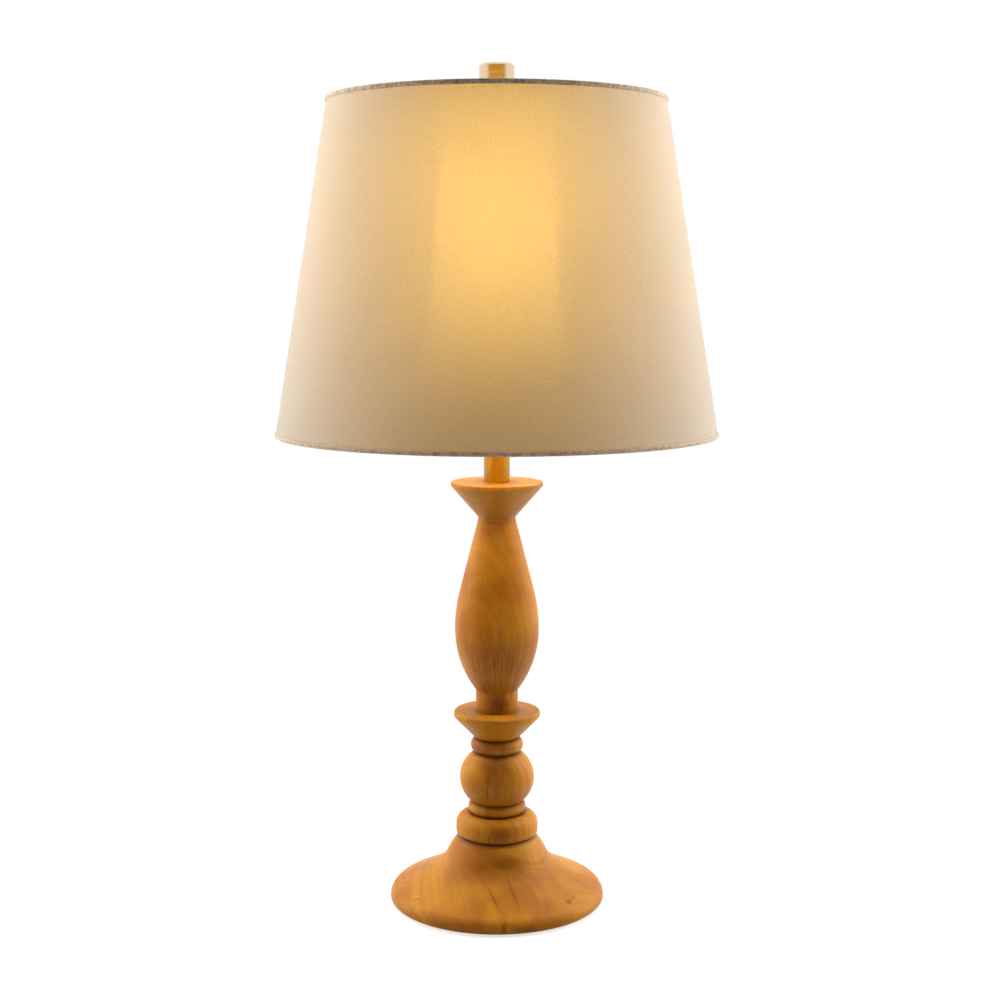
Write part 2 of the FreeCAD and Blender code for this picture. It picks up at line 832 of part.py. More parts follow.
def make_socket_cap():
    """Brass bowl on a threaded collar, gripped on the pipe by a set screw."""
    inner = d.cap_radius - d.cap_wall
    low = d.cap_collar_height - d.cap_wall
    bowl = d.cap_bowl_round
    body = turned("socket_cap", cap_z, [
        line(d.pipe_radius, 0),
        line(d.cap_collar_radius, 0),
        line(d.cap_collar_radius, low),
        line(d.cap_radius - bowl, low),
        arc(d.cap_radius, low + bowl, bowl),
        line(d.cap_radius, d.cap_height),
        line(inner, d.cap_height),
        line(inner, low + bowl),
        arc(d.cap_radius - bowl, low + d.cap_wall, bowl - d.cap_wall, hollow=True),
        line(d.pipe_radius, low + d.cap_wall),
    ])
    sketch = new_sketch(body, "set_screw_sketch")
    draw_circle(sketch, size_of(0), d.cap_collar_height / 2, d.set_screw_radius)
    pocket(body, sketch, "set_screw_hole", d.cap_collar_radius * 2)


def make_set_screw():
    body = new_part("cap_set_screw", cap_z)
    sketch = new_sketch(body, "shank_sketch", offset=-d.pipe_radius)
    draw_circle(sketch, size_of(0), d.cap_collar_height / 2, d.set_screw_radius)
    length = d.cap_collar_radius - d.pipe_radius + d.set_screw_stand_out
    pad(body, sketch, "shank", length, backwards=True)


def make_socket_shell():
    bore = shell_radius - d.shell_wall
    wall = block(bore, shell_radius, 0, d.shell_length)
    body = turned("socket_shell", shell_z, wall)
    cut_switch_slot(body, switch_z - shell_z)


def make_socket_liner():
    bore = liner_radius - d.liner_paper
    sleeve = block(bore, liner_radius, 0, d.shell_length)
    body = turned("socket_liner", shell_z, sleeve)
    cut_switch_slot(body, switch_z - shell_z)


def cut_switch_slot(body, height):
    """A slot in the front wall, open downwards, that drops over the switch's shaft."""
    sketch = new_sketch(body, "slot_sketch")
    half = d.switch_shaft_radius + d.bore_gap
    draw_path(sketch, [
        line(-half, -half), line(half, -half), line(half, height), arc(0, height + half, half),
        arc(-half, height, half),
    ], closed=True)
    pocket(body, sketch, "slot", d.cap_radius, forwards=True)


def make_socket_core():
    """Insulating body with a bored way for the switch's shaft and two screw pockets. Its foot
    is narrowed to stand on the flat of the cap's bowl."""
    body = turned("socket_core", core_z, block(0, core_radius, 0, d.core_height))
    foot_radius = d.cap_radius - d.cap_bowl_round - d.fit_gap
    soften(body, "Chamfer", core_radius, (size_of(0),), core_radius - foot_radius)
    way = new_sketch(body, "shaft_way_sketch", offset=shaft_start)
    draw_circle(way, size_of(0), switch_z - core_z, d.switch_shaft_radius + d.run_gap)
    pocket(body, way, "shaft_way", core_radius, forwards=True)
    for side, name in ((1, "right"), (-1, "left")):
        sketch = new_sketch(body, f"terminal_{name}_sketch", "YZ_Plane", side * terminal_reach)
        draw_circle(sketch, size_of(0), d.terminal_height, d.terminal_radius + d.fit_gap)
        pocket(body, sketch, f"terminal_{name}", core_radius, forwards=side > 0)


def make_terminal_screws():
    """Two brass terminal screws, as a group of separate solids."""
    screws = []
    for side, name in ((1, "right"), (-1, "left")):
        screw = doc.addObject("Part::Cylinder", f"terminal_{name}")
        screw.setExpression("Radius", d.terminal_radius.formula)
        screw.setExpression("Height", d.terminal_length.formula)
        screw.Placement.Rotation = FreeCAD.Rotation(FreeCAD.Vector(0, side, 0), 90)
        screw.setExpression("Placement.Base.x", (side * terminal_reach).formula)
        screws.append(screw)
    group = doc.addObject("Part::Compound", "terminal_screws")
    group.Links = screws
    group.setExpression("Placement.Base.z", (core_z + d.terminal_height).formula)
    group.Label = "terminal_screws"
    parts.append(group)


def make_screw_shell():
    """Threaded liner that takes the bulb's cap."""
    bore = d.bulb_cap_radius + d.run_gap
    wall = block(bore, bore + d.screw_shell_wall, 0, d.screw_shell_length)
    turned("screw_shell", contact_z, wall)


def make_contact():
    turned("centre_contact", contact_z, block(0, d.contact_radius, 0, d.contact_thickness))


def make_switch():
    """Shaft out of the socket's front, and the knob on its end: a round boss and a flat grip."""
    shaft = new_part("switch_shaft", switch_z)
    sketch = new_sketch(shaft, "shaft_sketch", offset=shaft_start)
    draw_circle(sketch, size_of(0), size_of(0), d.switch_shaft_radius)
    pad(shaft, sketch, "shaft", d.switch_shaft_length)
    knob = new_part("switch_knob", switch_z)
    knob_start = shaft_start + d.switch_shaft_length - d.knob_bore_depth
    grip = new_sketch(knob, "grip_sketch", offset=knob_start)
    draw_circle(grip, size_of(0), size_of(0), d.knob_radius)
    pad(knob, grip, "grip", d.knob_length)
    bore = new_sketch(knob, "bore_sketch", offset=knob_start)
    draw_circle(bore, size_of(0), size_of(0), d.switch_shaft_radius)
    pocket(knob, bore, "bore", d.knob_bore_depth, forwards=True)
    for side, name in ((1, "right"), (-1, "left")):
        waste = new_sketch(knob, f"flat_{name}_sketch", offset=knob_start + d.knob_boss)
        inside = side * d.knob_blade / 2
        outside = side * d.knob_radius
        corners = [line(inside, -d.knob_radius), line(outside, -d.knob_radius),
                   line(outside, d.knob_radius), line(inside, d.knob_radius)]
        draw_path(waste, corners if side > 0 else corners[::-1], closed=True)
        pocket(knob, waste, f"flat_{name}", d.knob_length, forwards=True)


# ---------------------------------------------------------------- bulb
cap_low = d.bulb_tip_height + d.bulb_insulator_height
cap_top = cap_low + d.bulb_cap_length


def make_bulb_cap():
    """Screw cap of the bulb: a cup whose floor is closed by the insulator."""
    inner = d.bulb_cap_radius - d.bulb_cap_wall
    floor_top = cap_low + d.bulb_cap_round
    turned("bulb_cap", tip_z, [
        line(d.bulb_insulator_radius, cap_low),
        line(d.bulb_cap_radius - d.bulb_cap_round, cap_low),
        arc(d.bulb_cap_radius, floor_top, d.bulb_cap_round),
        line(d.bulb_cap_radius, cap_top),
        line(inner, cap_top),
        line(inner, floor_top),
        line(d.bulb_insulator_radius, floor_top),
    ])


def make_bulb_insulator():
    """Glass cone between the cap and the contact, with a plug that fills the cap's floor."""
    turned("bulb_insulator", tip_z, [
        line(0, d.bulb_tip_height),
        line(d.bulb_tip_radius, d.bulb_tip_height),
        line(d.bulb_insulator_radius, cap_low),
        line(d.bulb_insulator_radius, cap_low + d.bulb_cap_round),
        line(0, cap_low + d.bulb_cap_round),
    ])


def make_bulb_contact():
    turned("bulb_contact", tip_z, [
        line(0, 0),
        line(d.bulb_tip_round, 0),
        line(d.bulb_tip_radius, d.bulb_tip_height),
        line(0, d.bulb_tip_height),
    ])


def make_bulb_glass():
    """Closed glass bulb. Its flank is tangent to the upright neck and to the round head."""
    neck = d.bulb_cap_radius - d.bulb_cap_wall - d.fit_gap
    foot = cap_top - d.bulb_neck_seat
    neck_y = cap_top + d.bulb_neck_rise
    rise = d.bulb_centre_height - neck_y
    head = d.bulb_radius
    flank = (neck * neck + rise * rise - head * head) / (2 * (head - neck))
    across = (neck + flank) / (head + flank)
    down = rise / (head + flank)
    inner = head - d.bulb_glass
    turned("bulb_glass", tip_z, [
        line(neck - d.bulb_glass, foot),
        line(neck, foot),
        line(neck, neck_y),
        arc(head * across, d.bulb_centre_height - head * down, flank, hollow=True),
        arc(head, d.bulb_centre_height, head),
        arc(0, d.bulb_centre_height + head, head),
        line(0, d.bulb_centre_height + inner),
        arc(inner, d.bulb_centre_height, inner, hollow=True),
        arc(inner * across, d.bulb_centre_height - inner * down, inner, hollow=True),
        arc(neck - d.bulb_glass, neck_y, flank + d.bulb_glass),
    ])


def make_bulb_stem():
    """Glass mount that stands in the cap and carries the filament."""
    wide = d.bulb_cap_radius - d.bulb_cap_wall - d.bulb_glass * 2 - d.fit_gap * 2
    low = cap_low + d.bulb_cap_round
    turned("bulb_stem", tip_z, [
        line(0, low),
        line(wide, low),
        line(wide, low + d.bulb_glass),
        arc(d.stem_radius, cap_top, d.bulb_cap_length, hollow=True),
        line(d.stem_top_radius, cap_top + d.stem_height),
        line(0, cap_top + d.stem_height),
    ])


def make_filament():
    """Hairpin filament whose legs stand on each side of the stem."""
    leg = d.stem_radius + d.filament_radius + d.fit_gap
    high = cap_top + d.stem_height
    piped("bulb_filament", tip_z, [
        line(leg, cap_top),
        line(leg, high),
        arc(0, high + leg, leg),
        arc(-leg, high, leg),
        line(-leg, cap_top),
    ], d.filament_radius)


# ---------------------------------------------------------------- shade
slant = (d.shade_low_radius - d.shade_top_radius) / d.shade_height


def wall_radius(below_rim):
    """The cover's outer radius at a depth below the shade's rim."""
    return d.shade_top_radius + slant * below_rim


def make_wall(name, inset, thickness):
    """One tapered layer of the shade, between the two trims' folds."""
    top = d.trim
    low = d.shade_height - d.trim
    outer_top = wall_radius(top) - inset
    outer_low = wall_radius(low) - inset
    turned(name, shade_top_z, [
        line(outer_low - thickness, -low),
        line(outer_low, -low),
        line(outer_top, -top),
        line(outer_top - thickness, -top),
    ])


def ring_centre(below_rim):
    """Radius of a wire ring that lies against the liner's inside."""
    return wall_radius(below_rim) - d.fabric - d.styrene - d.ring_wire_radius - d.fit_gap


def make_wire_ring(name, below_rim):
    ring = doc.addObject("Part::Torus", name)
    ring.Label = name
    ring.setExpression("Radius1", ring_centre(below_rim).formula)
    ring.setExpression("Radius2", d.ring_wire_radius.formula)
    ring.setExpression("Placement.Base.z", (shade_top_z - below_rim).formula)
    parts.append(ring)


top_ring_depth = d.trim + d.ring_wire_radius + d.fit_gap
low_ring_depth = d.shade_height - top_ring_depth


def trim_outline(edge, foot, inner, outer, way):
    """Half outline of a tape folded over an edge: way is 1 for the top edge, -1 for the low one."""
    skin = d.trim
    fold = edge - way * skin
    round_off = d.trim_round
    shoulder = edge - way * round_off
    return [
        line(outer, foot),
        line(outer + skin, foot),
        line(outer + skin, shoulder),
        arc(outer + skin - round_off, edge, round_off, hollow=way < 0),
        line(inner - skin + round_off, edge),
        arc(inner - skin, shoulder, round_off, hollow=way < 0),
        line(inner - skin, foot),
        line(inner, foot),
        line(inner, fold),
        line(outer, fold),
    ]


def make_top_trim():
    """Bound top edge of the shade: it folds over the cover, the liner and the wire ring."""
    inner = ring_centre(top_ring_depth) - d.ring_wire_radius - d.fit_gap
    outer = wall_radius(d.trim_top_height) + d.fit_gap
    outline = trim_outline(size_of(0), -d.trim_top_height, inner, outer, 1)
    turned("shade_trim_top", shade_top_z, outline)


def make_low_trim():
    """Bound low edge of the shade."""
    inner = ring_centre(low_ring_depth) - d.ring_wire_radius - d.fit_gap
    outer = wall_radius(d.shade_height) + d.fit_gap
    outline = trim_outline(size_of(0), d.trim_low_height, inner, outer, -1)
    turned("shade_trim_low", shade_low_z, mirrored_outline(outline))


def mirrored_outline(outline):
    """The same closed outline run the other way, with each arc kept on its own two points."""
    points = [(step[1], step[2]) for step in outline]
    count = len(points)
    result = []
    for index in range(count - 1, -1, -1):
        came_by = outline[(index + 1) % count]
        x, y = points[index]
        if came_by[0] == "arc":
            radius, hollow = came_by[3]
            result.append(("arc", x, y, (radius, not hollow)))
        else:
            result.append(("line", x, y, None))
    return result


def make_hub():
    bore = d.stud_radius + d.hub_bore_gap
    body = turned("spider_hub", hub_z, block(bore, d.hub_radius, 0, d.hub_thickness))
    faces = (size_of(0), d.hub_thickness)
    soften(body, "Chamfer", d.hub_radius, faces, d.hub_chamfer)


def make_arms():
    """Three wires from the hub's edge out, then up to the underside of the top ring."""
    low = d.hub_thickness / 2
    up, along = sine(d.arm_angle), cosine(d.arm_angle)
    ring = ring_centre(top_ring_depth)
    reach = ring + d.arm_past_ring
    under_ring = d.shade_drop - top_ring_depth - (d.ring_wire_radius + d.arm_radius) / along
    high = under_ring + d.arm_past_ring * up / along
    bend_rise = d.arm_bend * (1 - along)
    bend = reach - (high - low - bend_rise) * along / up - d.arm_bend * up
    for bearing, name in ((90, "back"), (210, "left"), (330, "right")):
        body = new_part(f"spider_arm_{name}", hub_z)
        body.Placement.Rotation = FreeCAD.Rotation(FreeCAD.Vector(0, 0, 1), bearing)
        section = new_sketch(body, "section", "YZ_Plane", d.hub_radius)
        draw_circle(section, size_of(0), low, d.arm_radius)
        path = new_sketch(body, "path")
        draw_path(path, [
            line(d.hub_radius, low),
            line(bend, low),
            arc(bend + d.arm_bend * up, low + bend_rise, d.arm_bend),
            line(reach, high),
        ], closed=False)
        wire = body.newObject("PartDesign::AdditivePipe", f"{body.Name}_wire")
        wire.Profile = section
        wire.Spine = path


# ---------------------------------------------------------------- finial
def make_finial():
    bore = d.stud_radius + d.run_gap
    roof = d.stud_length - d.hub_thickness + d.finial_bore_over_stud
    shoulder = d.finial_neck_height
    turned("finial_neck", finial_z, [
        line(bore, 0),
        line(d.finial_flange_radius, 0),
        line(d.finial_flange_radius, d.finial_flange_edge),
        line(d.finial_neck_radius, d.finial_flange_height),
        line(d.finial_neck_radius, shoulder),
        line(d.finial_spigot_radius, shoulder),
        line(d.finial_spigot_radius, shoulder + d.finial_spigot_height),
        line(0, shoulder + d.finial_spigot_height),
        line(0, roof),
        line(bore, roof),
    ])
    well = d.finial_spigot_height + d.finial_bore_over_stud
    hole = d.finial_spigot_radius + d.run_gap
    knob = turned("finial_knob", finial_z + shoulder, [
        line(hole, 0),
        line(d.knob_top_radius, 0),
        line(d.knob_top_radius, d.knob_height),
        line(0, d.knob_height),
        line(0, well),
        line(hole, well),
    ])
    ends = (size_of(0), d.knob_height)
    soften(knob, "Chamfer", d.knob_top_radius, ends, d.knob_chamfer)


make_felt()
make_base()
make_weight()
make_weight_screws()
make_cord_bush()
make_pipe()
make_bottom_washer()
make_bottom_nut()
make_base_disc()
make_lower_ring()
make_ball()
make_upper_bead()
make_low_dish()
make_baluster()
make_top_dish()
make_neck_tube()
make_check_ring()
make_saddle()
make_harp_wire()
make_harp_clip()
make_harp_stud()
make_sleeves()
make_socket_cap()
make_set_screw()
make_socket_shell()
make_socket_liner()
make_socket_core()
make_terminal_screws()
make_screw_shell()
make_contact()
make_switch()
make_bulb_cap()
make_bulb_insulator()
make_bulb_contact()
make_bulb_glass()
make_bulb_stem()
make_filament()
make_wall("shade_fabric", size_of(0), d.fabric)
make_wall("shade_liner", d.fabric, d.styrene)
make_wire_ring("shade_top_ring", top_ring_depth)
make_wire_ring("shade_low_ring", low_ring_depth)
make_top_trim()
make_low_trim()
make_hub()
make_arms()
make_finial()
doc.recompute()


# ---------------------------------------------------------------- checks and files
faults = []
for item in doc.Objects:
    if "Invalid" in item.State or "Error" in item.State:
        faults.append(f"{item.Name}: {item.State}")
for sketch in sketches:
    if not sketch.FullyConstrained:
        faults.append(f"{sketch.Name} isn't fully constrained")
for part in parts:
    if part.Shape.isNull() or not part.Shape.isValid() or not part.Shape.Solids:
        faults.append(f"{part.Label} has no valid solid")
if faults:
    raise RuntimeError("\n".join(faults))

os.makedirs("parts", exist_ok=True)
for part in parts:
    part.Shape.exportStep(f"parts/{part.Label}.step")
    print(f"{part.Label:18} {len(part.Shape.Solids)} solid(s) {part.Shape.Volume:10.1f} mm3")
print(len(parts), "nodes")
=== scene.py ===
import math
import bpy
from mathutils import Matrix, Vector


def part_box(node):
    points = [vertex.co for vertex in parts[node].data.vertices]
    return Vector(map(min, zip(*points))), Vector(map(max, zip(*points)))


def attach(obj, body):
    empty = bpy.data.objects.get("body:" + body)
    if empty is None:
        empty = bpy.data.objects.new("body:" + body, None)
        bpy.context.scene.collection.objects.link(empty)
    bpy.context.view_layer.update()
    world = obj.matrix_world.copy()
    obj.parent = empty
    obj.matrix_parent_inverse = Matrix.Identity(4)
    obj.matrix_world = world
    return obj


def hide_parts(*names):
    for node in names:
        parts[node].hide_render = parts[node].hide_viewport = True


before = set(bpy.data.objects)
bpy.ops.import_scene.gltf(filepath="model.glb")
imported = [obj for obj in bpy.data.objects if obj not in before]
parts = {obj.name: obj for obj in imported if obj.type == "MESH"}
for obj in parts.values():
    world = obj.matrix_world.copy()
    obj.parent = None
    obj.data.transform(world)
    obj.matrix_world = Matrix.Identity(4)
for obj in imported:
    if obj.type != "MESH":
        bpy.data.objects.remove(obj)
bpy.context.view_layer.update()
mm = 0.001
print("frame loaded:", len(parts), "nodes")


# helpers

def linear(hexColour):
    # sRGB hex to the linear colour that a shader takes
    values = [int(hexColour[i:i + 2], 16) / 255 for i in (1, 3, 5)]
    return tuple(v / 12.92 if v <= 0.04045 else ((v + 0.055) / 1.055) ** 2.4
                 for v in values) + (1.0,)


def addNode(tree, kind, settings=None, feeds=None):
    # feeds: socket name or number to a value, a hex colour, an output or a node's first output
    made = tree.nodes.new(kind)
    for key, value in (settings or {}).items():
        setattr(made, key, value)
    for key, value in (feeds or {}).items():
        if isinstance(value, bpy.types.Node):
            value = value.outputs[0]
        if isinstance(value, bpy.types.NodeSocket):
            tree.links.new(value, made.inputs[key])
        else:
            made.inputs[key].default_value = linear(value) if str(value)[:1] == "#" else value
    return made


def newMaterial(name):
    material = bpy.data.materials.new(name)
    material.use_nodes = True
    material.node_tree.nodes.clear()
    return material, material.node_tree


def grain(tree, spot, sizes, detail):
    # noise with spots of these sizes along x, y and z
    scaled = addNode(tree, "ShaderNodeVectorMath", {"operation": "MULTIPLY"},
                     {0: spot, 1: [1 / size for size in sizes]})
    return addNode(tree, "ShaderNodeTexNoise", None,
                   {"Vector": scaled, "Scale": 1.0, "Detail": detail})


def shaken(tree, spot, over, by, detail):
    # the spot moved about by smooth noise
    noise = addNode(tree, "ShaderNodeTexNoise", None,
                    {"Vector": spot, "Scale": 1 / over, "Detail": detail})
    centred = addNode(tree, "ShaderNodeVectorMath", {"operation": "SUBTRACT"},
                      {0: noise.outputs["Color"], 1: (0.5, 0.5, 0.5)})
    return addNode(tree, "ShaderNodeVectorMath", {"operation": "MULTIPLY_ADD"},
                   {0: centred, 1: (by,) * 3, 2: spot})


def aboutAxis(tree, place):
    # the way out from the lamp's axis, the distance from it, and the height
    out = addNode(tree, "ShaderNodeVectorMath", {"operation": "MULTIPLY"},
                  {0: place, 1: (1, 1, 0)})
    away = addNode(tree, "ShaderNodeVectorMath", {"operation": "LENGTH"}, {0: out})
    height = addNode(tree, "ShaderNodeSeparateXYZ", None, {0: place})
    return out, away.outputs["Value"], height.outputs[2]


def newPiece(name, mesh):
    piece = bpy.data.objects.new(name, mesh)
    bpy.context.scene.collection.objects.link(piece)
    return piece


def newTree(name, sizes):
    # a geometry tree whose named inputs are the keys of sizes, and a material
    tree = bpy.data.node_groups.new(name, "GeometryNodeTree")
    tree.interface.new_socket(name="Geometry", in_out="OUTPUT", socket_type="NodeSocketGeometry")
    for key, value in sizes.items():
        kind = "NodeSocketInt" if isinstance(value, int) else "NodeSocketFloat"
        tree.interface.new_socket(name=key, in_out="INPUT", socket_type=kind)
    tree.interface.new_socket(name="Finish", in_out="INPUT", socket_type="NodeSocketMaterial")
    return tree, tree.nodes.new("NodeGroupInput").outputs


def endTree(tree, geometry, finish):
    real = addNode(tree, "GeometryNodeRealizeInstances", None, {"Geometry": geometry})
    done = addNode(tree, "GeometryNodeSetMaterial", None,
                   {"Geometry": real, "Material": finish})
    addNode(tree, "NodeGroupOutput", None, {0: done})


def growPiece(name, tree, sizes, material, wall=0.0):
    # runs the tree once and keeps its result as a plain mesh
    seed = newPiece(name + "Seed", bpy.data.meshes.new(name + "Seed"))
    grow = seed.modifiers.new("grow", "NODES")
    grow.node_group = tree
    values = dict(sizes, Finish=material)
    for item in tree.interface.items_tree:
        if item.in_out == "INPUT":
            grow[item.identifier] = values[item.name]
    if wall:
        solid = seed.modifiers.new("wall", "SOLIDIFY")
        solid.thickness, solid.offset = wall, -1   # all of the wall lies inside the grown face
    seen = seed.evaluated_get(bpy.context.evaluated_depsgraph_get())
    mesh = bpy.data.meshes.new_from_object(seen)
    mesh.name = name
    bpy.data.objects.remove(seed)
    for face in mesh.polygons:
        face.use_smooth = True
    return newPiece(name, mesh)


# camera: the photograph's height, distance and tilt, worked out from the shade's rims and the foot

photo = {"lens": 59.47, "sensor": 36.0, "place": (0.0024, -1.262, 0.4833), "tilt": 7.48}
lens = bpy.data.cameras.new("photoCamera")
lens.lens, lens.sensor_width = photo["lens"], photo["sensor"]
camera = newPiece("photoCamera", lens)
camera.location = photo["place"]
camera.rotation_euler = (math.radians(90 - photo["tilt"]), 0, 0)
bpy.context.scene.camera = camera
bpy.context.scene.view_settings.view_transform = "Standard"

# studio: two tall softboxes at the sides, a little behind the lamp; a small one low in front,
# whose beam stays under the shade; a weak fill; and behind the camera a dim warm room

studio = {
    "boxOut": 1.35, "boxBack": 0.6, "boxMiddle": 0.85, "boxWide": 1.5, "boxTall": 2.0,
    "boxPower": 61.0, "boxAim": 0.42, "lowAway": 0.75, "lowUp": 0.1, "lowWide": 0.3,
    "lowPower": 0.05, "lowAim": 0.16, "lowBeam": 50, "lowTint": "#FFD9B0", "fill": 0.13,
    "room": "#CE9D31", "roomFrom": -0.4, "roomTo": -0.65, "floorBounce": "#A6A39E",
    "floorSeen": "#FAF9F8", "floorSize": 16.0, "shadowKept": 0.3, "whiteFrom": 0.14,
    "whiteAt": 0.8}


def placeSoftbox(name, place, aim, wide, tall, power):
    light = bpy.data.lights.new(name, "AREA")
    light.shape = "RECTANGLE"
    light.size, light.size_y = wide, tall
    light.energy = power
    box = newPiece(name, light)
    box.location = place
    box.rotation_euler = (Vector((0, 0, aim)) - box.location).to_track_quat("-Z", "Y").to_euler()
    box.visible_camera = box.visible_glossy = False   # gloss shows the white all round instead
    return light


def seenRays(tree):
    # 1 for what the camera, gloss and glass look at, 0 for light that bounces
    path = addNode(tree, "ShaderNodeLightPath")
    first = addNode(tree, "ShaderNodeMath", {"operation": "MAXIMUM"},
                    {0: path.outputs["Is Camera Ray"], 1: path.outputs["Is Glossy Ray"]})
    return addNode(tree, "ShaderNodeMath", {"operation": "MAXIMUM"},
                   {0: first, 1: path.outputs["Is Transmission Ray"]})


def roomShare(tree, way):
    # 1 where gloss looks back past the camera, into the room
    path = addNode(tree, "ShaderNodeLightPath")
    straight = addNode(tree, "ShaderNodeVectorMath", {"operation": "NORMALIZE"}, {0: way})
    ahead = addNode(tree, "ShaderNodeSeparateXYZ", None, {0: straight})
    share = addNode(tree, "ShaderNodeMapRange", {"interpolation_type": "SMOOTHSTEP"},
                    {"Value": ahead.outputs[1], "From Min": studio["roomFrom"],
                     "From Max": studio["roomTo"]})
    return addNode(tree, "ShaderNodeMath", {"operation": "MULTIPLY"},
                   {0: share, 1: path.outputs["Is Glossy Ray"]})


def paleTone(tree, way):
    return addNode(tree, "ShaderNodeMix", {"data_type": "RGBA"},
                   {0: roomShare(tree, way), 6: "#FFFFFF", 7: studio["room"]}).outputs[2]


def makeWorld():
    world = bpy.data.worlds.new("paleStudio")
    bpy.context.scene.world = world
    world.use_nodes = True
    tree = world.node_tree
    tree.nodes.clear()
    way = addNode(tree, "ShaderNodeTexCoord").outputs["Generated"]
    fill = addNode(tree, "ShaderNodeBackground", None,
                   {"Color": "#FFFFFF", "Strength": studio["fill"]})
    pale = addNode(tree, "ShaderNodeBackground", None,
                   {"Color": paleTone(tree, way), "Strength": 1.0})
    both = addNode(tree, "ShaderNodeMixShader", None,
                   {0: seenRays(tree), 1: fill, 2: pale})
    addNode(tree, "ShaderNodeOutputWorld", None, {"Surface": both})


def makeFloor():
    # plain pale paper: near the lamp it keeps the shadow, further out it runs into the white
    half = studio["floorSize"] / 2
    mesh = bpy.data.meshes.new("floor")
    mesh.from_pydata([(-half, -half, 0), (half, -half, 0), (half, half, 0), (-half, half, 0)],
                     [], [(0, 1, 2, 3)])
    material, tree = newMaterial("paleFloor")
    place = addNode(tree, "ShaderNodeTexCoord")
    away = addNode(tree, "ShaderNodeVectorMath", {"operation": "LENGTH"},
                   {0: place.outputs["Object"]})
    fade = addNode(tree, "ShaderNodeMapRange", {"interpolation_type": "SMOOTHSTEP"},
                   {"Value": away.outputs["Value"], "From Min": studio["whiteFrom"],
                    "From Max": studio["whiteAt"], "To Min": 1 - studio["shadowKept"],
                    "To Max": 1.0})
    share = addNode(tree, "ShaderNodeMath", {"operation": "MULTIPLY"},
                    {0: fade, 1: seenRays(tree)})
    tone = addNode(tree, "ShaderNodeMix", {"data_type": "RGBA"},
                   {0: seenRays(tree), 6: studio["floorBounce"], 7: studio["floorSeen"]})
    paper = addNode(tree, "ShaderNodeBsdfDiffuse", None, {"Color": tone.outputs[2]})
    white = addNode(tree, "ShaderNodeEmission", None,
                    {"Color": paleTone(tree, place.outputs["Object"]), "Strength": 1.0})
    both = addNode(tree, "ShaderNodeMixShader", None,
                   {0: share, 1: paper, 2: white})
    addNode(tree, "ShaderNodeOutputMaterial", None, {"Surface": both})
    mesh.materials.append(material)
    newPiece("floor", mesh)


for name, side in (("softboxLeft", -1), ("softboxRight", 1)):
    placeSoftbox(name, (side * studio["boxOut"], studio["boxBack"], studio["boxMiddle"]),
                 studio["boxAim"], studio["boxWide"], studio["boxTall"], studio["boxPower"])
lowBox = placeSoftbox("softboxLow", (0, -studio["lowAway"], studio["lowUp"]), studio["lowAim"],
                      studio["lowWide"], studio["lowWide"], studio["lowPower"])
lowBox.spread = math.radians(studio["lowBeam"])
lowBox.color = linear(studio["lowTint"])[:3]
makeWorld()
makeFloor()
print("camera, lights and floor made")


# wood: rubberwood, turned, stained honey and sprayed with satin lacquer. The eye gets warm
# orange-brown with faint rings, thin dark vessel streaks along the grain and soft side gloss.

woodLook = {
    # the dark brown #3C1603 and the 4.2 mm reach further down paint shade where two turnings meet
    "pale": "#C68A12", "honey": "#AE6606", "brown": "#7A3602", "seamShadeColour": "#3C1603",
    "vessel": "#5A2A04", "ringWidth": 6 * mm, "ringAlong": 0.04, "wander": 9 * mm,
    "wanderOver": 70 * mm, "streakWide": 0.8 * mm, "streakLong": 26 * mm, "wrap": 30 * mm,
    "streaksBelow": 1000, "streakFade": 40 * mm, "streakLeast": 0.25, "toneOver": 45 * mm,
    "vesselWide": 0.55 * mm, "vesselLong": 7 * mm,   # real vessels are 0.2 mm: drawn coarser
    "vesselDark": 0.55, "wobble": 1.8 * mm, "wobbleOver": 8 * mm, "markCore": 0.15,
    "seamShadeDeep": 4.2 * mm, "bump": 0.05 * mm, "bumpStrength": 0.35, "satin": 0.48,
    "satinSpread": 0.12, "coat": 0.05, "coatSatin": 0.3, "ior": 1.38}


def endRadius(name, height, within=0.4 * mm):
    # how wide a turning or a cone is where it ends at this height
    reach = [v.co.xy.length for v in parts[name].data.vertices if abs(v.co.z - height) < within]
    return max(reach, default=0.0)


def markShare(tree, place, mark):
    # a soft dark spot, knot or crack, or painted shade: full in its middle, gone past its edge
    own = addNode(tree, "ShaderNodeMapping", {"vector_type": "TEXTURE"},
                  {"Vector": place, "Location": [v * mm for v in mark["at"]],
                   "Rotation": (0, 0, math.radians(mark.get("turn", 0))),
                   "Scale": [v * mm for v in mark["size"]]})
    away = addNode(tree, "ShaderNodeVectorMath", {"operation": "LENGTH"}, {0: own})
    return addNode(tree, "ShaderNodeMapRange", {"interpolation_type": "SMOOTHSTEP"},
                   {"Value": away.outputs["Value"], "From Min": 1.0,
                    "From Max": woodLook["markCore"], "To Max": mark["dark"]})


